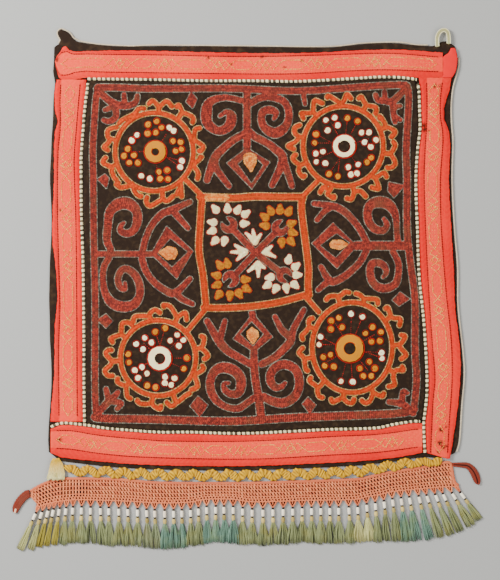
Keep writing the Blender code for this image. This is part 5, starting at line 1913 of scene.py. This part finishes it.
random.seed(31)
end_left = line_through([(y, low) for y, low, high in RIBBON_END_ROWS])
end_right = line_through([(y, high) for y, low, high in RIBBON_END_ROWS])
frayed = Shape()
core = []
end_first = RIBBON_END_ROWS[0][0]
end_last = RIBBON_END_ROWS[-1][0]
for y in np.linspace(end_first, end_last + 3.0, END_PARTS):
    low = end_left(y) + 0.8
    high = end_right(y) - 0.8
    ring = [(low + (high - low) * k / 8, y, 3.4 + 1.2 * sin(pi * k / 8)) for k in range(9)]
    core.append(ring + [(high, y, RIBBON_BASE), (low, y, RIBBON_BASE)])
frayed.rings(core, tone=0.2)
for k in range(END_STRANDS):
    share = (k + draw(0.2, 0.8)) / END_STRANDS
    stop = end_last - draw(-2.0, 1.0)
    path = []
    for y in np.linspace(end_first + 0.5, stop, END_PARTS):
        low = end_left(y)
        x = low + (end_right(y) - low) * share + draw(-END_SPREAD, END_SPREAD)
        path.append((x, y, 3.9 + END_CROWN * sin(pi * share) + draw(-0.15, 0.15)))
    fade = np.clip(np.linspace(-0.1, 1.1, END_PARTS) + draw(-0.15, 0.15), 0.0, 1.2)
    frayed.tube(path, 0.5, sides=5, tones=fade.tolist(), ends=False)
frayed_end = settle(frayed.make("frayed_ribbon_end", RIBBON_END_THREAD), "yellow_braid",
                    "ribbon_end")


# %% [markdown]
# The netted band is worked with a needle: rows of looped thread leave small slanted holes, and a thick
# cord runs along the top. A dark base lies under it, as deep as the holes, and above the base every
# row is a twisted thread, with a slanting bar of its own for every mesh.

# %% Netted band
NET_TOP = [  # x, y
    (-281, -296.5), (-269, -289.5), (-256, -284), (-244, -281.5), (-232, -280.8),
    (-179, -281.3), (-156, -283.1), (-120, -286), (-6, -286.3), (56, -284.4),
    (94, -283), (131, -281.2), (156, -275.5), (181, -271), (206, -267.3),
    (231, -262), (243, -260.5), (245.8, -264.5), (247.8, -277), (251, -286.5),
    (256.6, -289.5),
]
VALLEY_LINE = [  # x, y of the notches between the teeth
    (-280, -309), (-272.5, -317.5), (-262, -315), (-250, -312.3), (-236, -310.5),
    (-225, -309.5), (-197, -310), (-156, -311.5), (-119, -313.5), (-81, -312.5),
    (-61, -309), (-27, -309), (-6, -312), (32, -311.5), (56, -310.5),
    (127, -309), (139, -306), (156, -303), (171, -299.5), (194, -297),
    (215, -295), (235, -293.5), (252.5, -293), (256.6, -293.5),
]
NET_GAP = 3.8
NET_BASE_TOP = 1.1
NET_ROW_SHARES = [0.24, 0.44, 0.64, 0.84]
NET_BAR_PITCH = 3.9
NET_BAR_HALF = 1.15
NET_ROW_RADIUS = 0.62
NET_SLANT = 0.62
NET_CORD_HALF = 1.8
NET_CORD_LEVEL = 1.35
NET_ROW_LEVEL = 1.55
BAR_CROWN_LEVEL = 1.75
FIRST_ROW_SHARE = 0.13
LAST_ROW_SHARE = 0.98
NET_REACH = (-280.5, 254.5)
NET_BASE_REACH = (-281.0, 255.0)
STRAIGHT_BARS = (-244.0, -206.0)
BAR_LEVEL = 1.4
BASE_STEP = 3.0
NET_THREAD = thread_material("net_thread", (164, 78, 68), (224, 160, 130), (206, 136, 110),
                             worn_share=0.5, patch=40.0)
NET_BASE = thread_material("net_base", (30, 12, 10), (66, 28, 22), (50, 28, 20))

net_top = line_through(NET_TOP)
valley = line_through(VALLEY_LINE)


def net_place(x, share):
    """Return the y of a share of the way down the netted band at x."""
    high = net_top(x)
    low = valley(x) + NET_GAP
    return high + (low - high) * share


def flat_band(name, reach, low_line, high_line):
    """Make a thin flat band between two lines, from its lower face on the floor up to its top."""
    band = Shape()
    band.rings([[(x, low_line(x), 0.0), (x, low_line(x), NET_BASE_TOP),
                 (x, high_line(x), NET_BASE_TOP), (x, high_line(x), 0.0)]
                for x in np.arange(*reach, BASE_STEP)])
    return band.make(name, NET_BASE)


net_base = flat_band("net_base_cloth", NET_BASE_REACH, lambda x: valley(x) + NET_GAP,
                     lambda x: net_top(x) - 0.4)
settle(net_base, "red_netting", "net_band")

random.seed(41)
net = Shape()
net_left, net_right = NET_REACH
row_edges = [FIRST_ROW_SHARE, *NET_ROW_SHARES, LAST_ROW_SHARE]
for share in row_edges[1:]:
    path = []
    for x in np.arange(net_left, net_right, 1.6):
        path.append((x, net_place(x, share) + 0.2 * sin(1.48 * x),
                     NET_ROW_LEVEL + 0.1 * sin(2.2 * x)))
    net.tube(path, NET_ROW_RADIUS, sides=8, lobes=2, twist=1.5, tone=0.6)
cord_path = [(x, net_top(x) - NET_CORD_HALF + 0.1, NET_CORD_LEVEL)
             for x in np.arange(net_left, net_right, 1.4)]
net.tube(cord_path, NET_CORD_HALF, sides=12, flat=0.55, lobes=3, twist=0.9, tone=0.35)
x = net_left + 2.0
while x < net_right - 2.0:
    for upper, lower in zip(row_edges, row_edges[1:]):
        top_y = net_place(x, upper)
        low_y = net_place(x, lower)
        lean = 0.0 if STRAIGHT_BARS[0] < x < STRAIGHT_BARS[1] else NET_SLANT
        drift = lean * (top_y - low_y) * draw(0.8, 1.2)
        half = NET_BAR_HALF * draw(0.88, 1.1)
        start = (x - 0.5 * drift, top_y, BAR_LEVEL)
        middle = (x + draw(-0.15, 0.15), 0.5 * (top_y + low_y), BAR_CROWN_LEVEL)
        stop = (x + 0.5 * drift, low_y, BAR_LEVEL)
        net.tube([start, middle, stop], [0.85 * half, half, 0.85 * half], sides=6, flat=0.5,
                 tone=draw(0.35, 0.95), ends=False)
    x += NET_BAR_PITCH * draw(0.97, 1.03)
net_threads = settle(net.make("net_threads", NET_THREAD), "red_netting")


# %% [markdown]
# Fifty strings hang from the teeth of the net. Each carries a white tube bead between two black ones,
# and ends in a tassel: a wrapped head with a skirt of loose yarns. The strings stand where the CAD
# piece has them, because the same seeded numbers place them, and the yarns are faded greens, with
# painted shade on the lower yarns of each skirt.

# %% Tassel fringe
STRING_COUNT = 50
LOCKS_PER_TASSEL = 5
FRINGE_SEED = 11
STRIP_HEIGHT = 3.5
END_SPACING = 5.6
TOOTH_SHARE = 0.74
TOOTH_LENGTH = 7.0
STRING_LENGTH = 11.5
HEAD_LENGTH = 6.0
SKIRT_SHARE = 0.9
WIDEST_SKIRT_PITCH = 11.5
PLACE_JITTER = 0.8
LEAN_JITTER = 0.02
LENGTH_JITTER = 1.2
TIP_JITTER = 0.5
STRING_PLACES = [  # string number, x of its tooth
    (0, -271), (6, -227), (12, -159), (18, -92), (24, -27), (30, 47),
    (36, 116), (42, 182), (49, 251.5),
]
STRING_LEAN = [  # x, sideways run for each unit of length
    (-275, -0.46), (-258, -0.26), (-236, -0.10), (-194, 0.02), (-6, 0), (100, 0.03),
    (181, 0.14), (219, 0.36), (239, 0.56), (254, 0.76),
]
TASSEL_LENGTH = [  # x, length from the notch line to the tips
    (-275, 60), (-236, 55), (-156, 57), (-6, 54), (56, 53.5), (131, 55),
    (156, 60), (206, 65), (231, 62), (245, 55), (254, 50),
]
BEAD_START = TOOTH_LENGTH + 2.1
BEAD_RADIUS = 1.9
BEAD_LENGTH = 8.4
SMALL_BEAD_RADIUS = 1.6
HEAD_START = BEAD_START + BEAD_LENGTH + 1.6
HEAD_STOP = TOOTH_LENGTH + STRING_LENGTH + HEAD_LENGTH + 1.5
HEAD_PARTS = 18
STRING_LEVEL = 2.0
TUBE_BEAD_FORM = [  # share of the length, share of the radius
    (0.0, 0.6), (0.04, 0.88), (0.12, 1.0), (0.5, 1.03), (0.88, 1.0), (0.96, 0.88), (1.0, 0.6),
]
SMALL_BEAD_FORM = [(-0.9, 0.5), (-0.5, 0.88), (0.0, 1.0), (0.5, 0.88), (0.9, 0.5)]
STRIP_REACH = (-273.8, 256.2)
TOOTH_RADIUS = 0.95
TOOTH_BEND_LEVEL = 1.7
TOOTH_TIP_LEVEL = 1.8
TOOTH_TIP_HALF = 0.6
TOOTH_BASE_TOP = 1.0
HEAD_RADII = (1.3, 1.0)  # at its ends, and the swell of its middle
WRAP_RIDGES = (-0.03, 0.07)
YARNS_PER_TASSEL = 36
YARN_RADIUS = 0.47
YARN_FORM = [(0.0, 1.05), (0.15, 1.1), (0.4, 1.0), (0.7, 1.0), (1.0, 0.7)]  # place, share of the radius
SKIRT_NECK = 3.0
SKIRT_HEIGHT = 2.6
SKIRT_THINNING = 0.55
YARN_FLOOR = 0.7
SKIRT_FAN = 1.34
DYE_ZONES_PX = [  # from x, to x, dye
    (30, 45, "pale"), (45, 64, "olive"), (146, 157, "grey"), (164, 190, "teal"), (205, 238, "teal"),
    (350, 371, "pale"), (400, 422, "teal"),
]
# The dark end of each dye is also the painted shade of the lowest yarns in a skirt.
DYE_AND_SHADE_COLOURS = {  # dark, light, worn
    "green": ((30, 34, 26), (146, 151, 118), (150, 142, 92)),
    "teal": ((34, 46, 42), (126, 150, 135), (140, 150, 106)),
    "olive": ((34, 32, 16), (162, 152, 96), (130, 116, 66)),
    "pale": ((44, 48, 32), (200, 198, 152), (160, 150, 110)),
    "grey": ((30, 36, 30), (146, 152, 124), (130, 124, 96)),
}
DYES = {dye: thread_material("yarn_" + dye, *colours, worn_share=0.5, patch=50.0)
        for dye, colours in DYE_AND_SHADE_COLOURS.items()}
HEAD_WRAP = thread_material("head_wrap", (110, 92, 54), (222, 204, 150), (100, 100, 66),
                            worn_share=0.5, patch=70.0)
WHITE_BEAD = thread_material("white_bead", (232, 216, 196), (250, 242, 226), (220, 190, 170),
                             worn_share=0.2, bump=0.02, roughness=0.3, sheen=0.0)
BLACK_BEAD = thread_material("black_bead", (22, 14, 14), (44, 28, 26), (30, 20, 20), bump=0.02,
                             roughness=0.3, sheen=0.0)

random.seed(FRINGE_SEED)
place_of = line_through(STRING_PLACES)
lean_of = line_through(STRING_LEAN)
reach_of = line_through(TASSEL_LENGTH)
centres = [place_of(i) + draw(-PLACE_JITTER, PLACE_JITTER) for i in range(STRING_COUNT)]
strings = []
for i, centre in enumerate(centres):
    slant = lean_of(centre) + draw(-LEAN_JITTER, LEAN_JITTER)
    length = reach_of(centre) + draw(-LENGTH_JITTER, LENGTH_JITTER)
    for lock in range(LOCKS_PER_TASSEL):
        draw(-TIP_JITTER, TIP_JITTER)  # the CAD piece draws a number for each lock here
    gaps = [centre - other for other in centres[max(i - 1, 0):i]]
    gaps += [other - centre for other in centres[i + 1:i + 2]]
    end_gap = [END_SPACING] if len(gaps) < 2 else []
    half = 0.5 * TOOTH_SHARE * min(gaps + end_gap)
    strings.append((centre, slant, length, SKIRT_SHARE * min(*gaps, WIDEST_SKIRT_PITCH), half))

random.seed(FRINGE_SEED + 1)
teeth = Shape()
tooth_base = Shape()
white_beads = Shape()
black_beads = Shape()
heads = Shape()
skirts = {dye: Shape() for dye in DYES}
for centre, slant, length, skirt, half in strings:
    run = hypot(slant, 1.0)
    down = np.array([slant / run, -1.0 / run])
    side = np.array([1.0 / run, slant / run])
    start = np.array([centre, valley(centre)])

    def spot(distance, offset, height):
        flat_place = start + down * distance + side * offset
        return (flat_place[0], flat_place[1], height)

    tip = spot(TOOTH_LENGTH, 0.0, TOOTH_TIP_LEVEL)
    outer_tone = draw(0.4, 0.9)
    feet = []
    for turn in (-1.0, 1.0):
        x = centre + turn * half
        feet.append((x, valley(x) + 0.6))
        bend = 0.5 * (np.array(feet[-1]) + tip[:2]) + turn * 0.5 * side
        teeth.tube([(*feet[-1], BAR_LEVEL), (*bend, TOOTH_BEND_LEVEL), tip], TOOTH_RADIUS, sides=7,
                   tone=outer_tone)
    teeth.tube([(centre, valley(centre) + 2.6, BAR_LEVEL), spot(3.0, 0.0, 1.5)], 0.8, sides=6, tone=0.5)
    corners = ((0, 0.0), (1, 0.0), (1, TOOTH_BASE_TOP), (0, TOOTH_BASE_TOP))
    tooth_base.rings([
        [(*feet[k], height) for k, height in corners],
        [spot(TOOTH_LENGTH, (-TOOTH_TIP_HALF, TOOTH_TIP_HALF)[k], height) for k, height in corners],
    ], tone=0.3)
    for distance in (TOOTH_LENGTH + 1.1, TOOTH_LENGTH + 3.0 + BEAD_LENGTH):
        stops = [spot(distance + SMALL_BEAD_RADIUS * t, 0.0, STRING_LEVEL) for t, share in SMALL_BEAD_FORM]
        radii = [SMALL_BEAD_RADIUS * share for t, share in SMALL_BEAD_FORM]
        black_beads.tube(stops, radii, sides=10, tone=0.5, ends=False)
    stops = [spot(BEAD_START + BEAD_LENGTH * t, 0.0, STRING_LEVEL) for t, share in TUBE_BEAD_FORM]
    radii = [BEAD_RADIUS * share for t, share in TUBE_BEAD_FORM]
    white_beads.tube(stops, radii, sides=12, tone=draw(0.3, 1.0), ends=False)
    head_path = []
    head_radii = []
    for k in range(HEAD_PARTS + 1):
        t = k / HEAD_PARTS
        head_path.append(spot(HEAD_START + (HEAD_STOP - HEAD_START) * t, 0.0, STRING_LEVEL))
        swell = HEAD_RADII[0] + HEAD_RADII[1] * sin(pi * min(0.95, t * 1.05))**0.7
        head_radii.append(swell * (1.0 + WRAP_RIDGES[k % 2]))
    heads.tube(head_path, head_radii, sides=10, flat=0.85, tone=draw(0.3, 0.9), ends=False)
    px = MIDDLE_PX[0] + centre / PIXEL_MM
    dye = "green"
    for low, high, zone_dye in DYE_ZONES_PX:
        if low <= px < high:
            dye = zone_dye
    lift = draw(-0.15, 0.15)
    for k in range(YARNS_PER_TASSEL):
        across = draw(-0.5, 0.5)
        height_and_shade_share = draw(0.0, 1.0)
        curl = draw(-0.5, 0.5)
        stop = length - 0.12 * abs(across * skirt) + draw(-2.6, 0.6)
        sway = draw(-0.7, 0.7)
        path = []
        for t, share in YARN_FORM:
            wide = SKIRT_NECK + (SKIRT_FAN * skirt - SKIRT_NECK) * min(1.0, t * 1.5)**0.8
            offset = across * wide + sway * sin(pi * t * 1.4) + curl * sin(9.0 * t)
            bulge = SKIRT_HEIGHT * (1.0 - SKIRT_THINNING * t)
            height = YARN_FLOOR + bulge * height_and_shade_share * (1.0 - (1.6 * across)**2 * 0.8) + 0.1
            path.append(spot(HEAD_STOP - 1.0 + (stop - HEAD_STOP + 1.0) * t, offset, height))
        # Painted shade: the tone follows the yarn's height, so the low yarns are painted darker, as shade between the
        # yarns, and the high ones lighter.
        tone = min(1.1, max(0.0, -0.05 + 1.05 * height_and_shade_share + lift + draw(-0.2, 0.2)))
        skirts[dye].tube(path, [YARN_RADIUS * share for t, share in YARN_FORM], sides=5, tone=tone,
                         ends=False)
fringe_strip = flat_band("fringe_strip", STRIP_REACH, valley, lambda x: valley(x) + STRIP_HEIGHT)
settle(fringe_strip, "tassel_yarn", "tassel_fringe")
edge_path = [(x, valley(x) + 0.8 + 0.25 * sin(1.1 * x), 1.5)
             for x in np.arange(-273.0, 255.5, 1.6)]
teeth.tube(edge_path, 0.8, sides=8, lobes=2, twist=1.5, tone=0.6)
for x in np.arange(-272.0, 254.0, NET_BAR_PITCH):
    teeth.tube([(x - 0.5, valley(x) + 4.2, BAR_LEVEL), (x + 0.5, valley(x) + 0.8, 1.5)], 1.1, sides=7,
               flat=0.5, tone=0.6, ends=False)
FRINGE = [settle(teeth.make("net_teeth", NET_THREAD), "red_netting"),
          settle(tooth_base.make("tooth_backs", NET_BASE), "red_netting"),
          settle(white_beads.make("white_tube_beads", WHITE_BEAD), "tassel_yarn"),
          settle(black_beads.make("small_black_beads", BLACK_BEAD), "tassel_yarn"),
          settle(heads.make("tassel_heads", HEAD_WRAP), "tassel_yarn")]
for dye, shape in skirts.items():
    FRINGE.append(settle(shape.make("tassel_yarns_" + dye, DYES[dye]), "tassel_yarn"))


# %% [markdown]
# A cloth needs to know the size it was cut to. The panel lies flat, so each flat size is close to the
# size that the photo shows. The gathered braid was cut longer than the place it fills, and the band of
# the hanging loop was cut twice as wide as it is now, because it is folded along its length.

# %% Sheets of cloth
FLAT_SIZES_MM = {
    "felt_backing": (515, 535), "embroidered_sheet": (415, 430),
    "cotton_border_top": (484, 34), "cotton_border_left": (428, 35),
    "cotton_border_right": (475, 36), "cotton_border_bottom": (465, 36),
    "corner_flap_cotton": (18, 37), "hanging_loop_band": (45, 11),
    "tie_left_tape": (33, 10.5), "tie_right_tape": (48, 10), "gathered_ribbon": (620, 10),
    "net_base_cloth": (537, 22),
}
LIES_ON = {sheet.name: ["felt_backing"] for sheet in [centre_sheet, *STRIPS, corner_flap]}
LIES_ON["gathered_ribbon"] = ["felt_backing", "net_base_cloth"]
GOES_WITH = {"embroidered_sheet": EMBROIDERY, "net_base_cloth": [net_threads, fringe_strip, *FRINGE],
             "gathered_ribbon": [frayed_end]}
for sheet in [back_cloth, centre_sheet, *STRIPS, corner_flap, hanging_loop, *TIES, gold_ribbon,
              net_base]:
    width, length = FLAT_SIZES_MM[sheet.name]
    held = "gathered" if sheet is gold_ribbon else "laid"
    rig.sheet(sheet, flat=(width * MM, length * MM), held=held, rests_on=LIES_ON.get(sheet.name, []),
             with_pieces=GOES_WITH.get(sheet.name, []))
print("sheets declared:", len(FLAT_SIZES_MM))


# %% [markdown]
# The camera looks straight down on the panel, as in the photo. A wide soft light stands to the left,
# a weaker one to the right, and a dim sky fills the shadows. The floor is plain and grey, because a
# pattern or a colour beside the panel would change how its reds look.

# %% Camera, light and floor
VIEW_TALL_MM = 725.0
VIEW_MIDDLE_MM = (-6.25, -46.25)
LENS_MM = 85.0
SENSOR_MM = 36.0
FACE_HEIGHT_MM = 4.0
FLOOR_HEIGHT_MM = -0.4
FLOOR_HALF = 3.0
FLOOR_GREY = (0.34, 0.34, 0.325, 1.0)
LIGHT_AIM = (0.0, -0.04, 0.0)
SKY_COLOUR = (1.0, 0.99, 0.97, 1.0)
SKY_STRENGTH = 0.82

camera_data = bpy.data.cameras.new("camera")
camera_data.lens = LENS_MM
camera_data.sensor_fit = "VERTICAL"
camera_data.sensor_height = SENSOR_MM
camera_data.sensor_width = SENSOR_MM
camera = add_object("camera", camera_data)
distance = VIEW_TALL_MM * LENS_MM / SENSOR_MM
camera.location = (VIEW_MIDDLE_MM[0] * MM, VIEW_MIDDLE_MM[1] * MM, (distance + FACE_HEIGHT_MM) * MM)
bpy.context.scene.camera = camera

floor_mesh = bpy.data.meshes.new("floor")
floor_corners = [(-1, -1), (1, -1), (1, 1), (-1, 1)]
floor_mesh.from_pydata([(x * FLOOR_HALF, y * FLOOR_HALF, FLOOR_HEIGHT_MM * MM) for x, y in floor_corners],
                       [], [(0, 1, 2, 3)])
floor_material = bpy.data.materials.new("floor_grey")
floor_material.use_nodes = True
wire(floor_material.node_tree, floor_material.node_tree.nodes["Principled BSDF"],
     {"Base Color": FLOOR_GREY, "Roughness": 0.9})
floor_mesh.materials.append(floor_material)
floor = add_object("floor", floor_mesh)
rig.stage(floor)


def soft_light(name, place, size, power):
    """Add a square area light that looks at the panel's middle."""
    data = bpy.data.lights.new(name, "AREA")
    data.size = size
    data.energy = power
    lamp = add_object(name, data)
    lamp.location = place
    aim = Vector(LIGHT_AIM) - lamp.location
    lamp.rotation_euler = aim.to_track_quat("-Z", "Y").to_euler()
    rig.stage(lamp)


soft_light("key_left", place=(-1.5, 0.7, 1.3), size=0.7, power=88.0)
soft_light("fill_right", place=(1.6, -0.6, 1.8), size=1.6, power=27.0)
world = bpy.data.worlds.new("soft_sky")
world.use_nodes = True
wire(world.node_tree, world.node_tree.nodes["Background"],
     {"Color": SKY_COLOUR, "Strength": SKY_STRENGTH})
bpy.context.scene.world = world
for thread in THREADS:
    bpy.data.objects.remove(thread, do_unlink=True)
print("camera at", tuple(round(value, 3) for value in camera.location))


# %% Sizes and finish
def box_of(points):
    """Return the lowest and highest corner of some points, and the size between them."""
    data = np.array(points)
    low = data.min(axis=0)
    high = data.max(axis=0)
    return {"low": low.tolist(), "high": high.tolist(), "size": (high - low).tolist()}


cad_points = [corner for node in frame["nodes"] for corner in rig.box(node)]
visual_points = []
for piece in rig.pieces():
    data = np.zeros(len(piece.data.vertices) * 3, np.float32)
    piece.data.vertices.foreach_get("co", data)
    data = data.reshape(-1, 3)
    visual_points.extend([data.min(axis=0), data.max(axis=0)])
sizes = {"cad": box_of(cad_points), "visual": box_of(visual_points)}
print("sizes:", sizes)
print("triangles in all:", sum(triangles_of(piece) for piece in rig.pieces()))
with open("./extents.json", "w") as out:
    json.dump(sizes, out, indent=1)
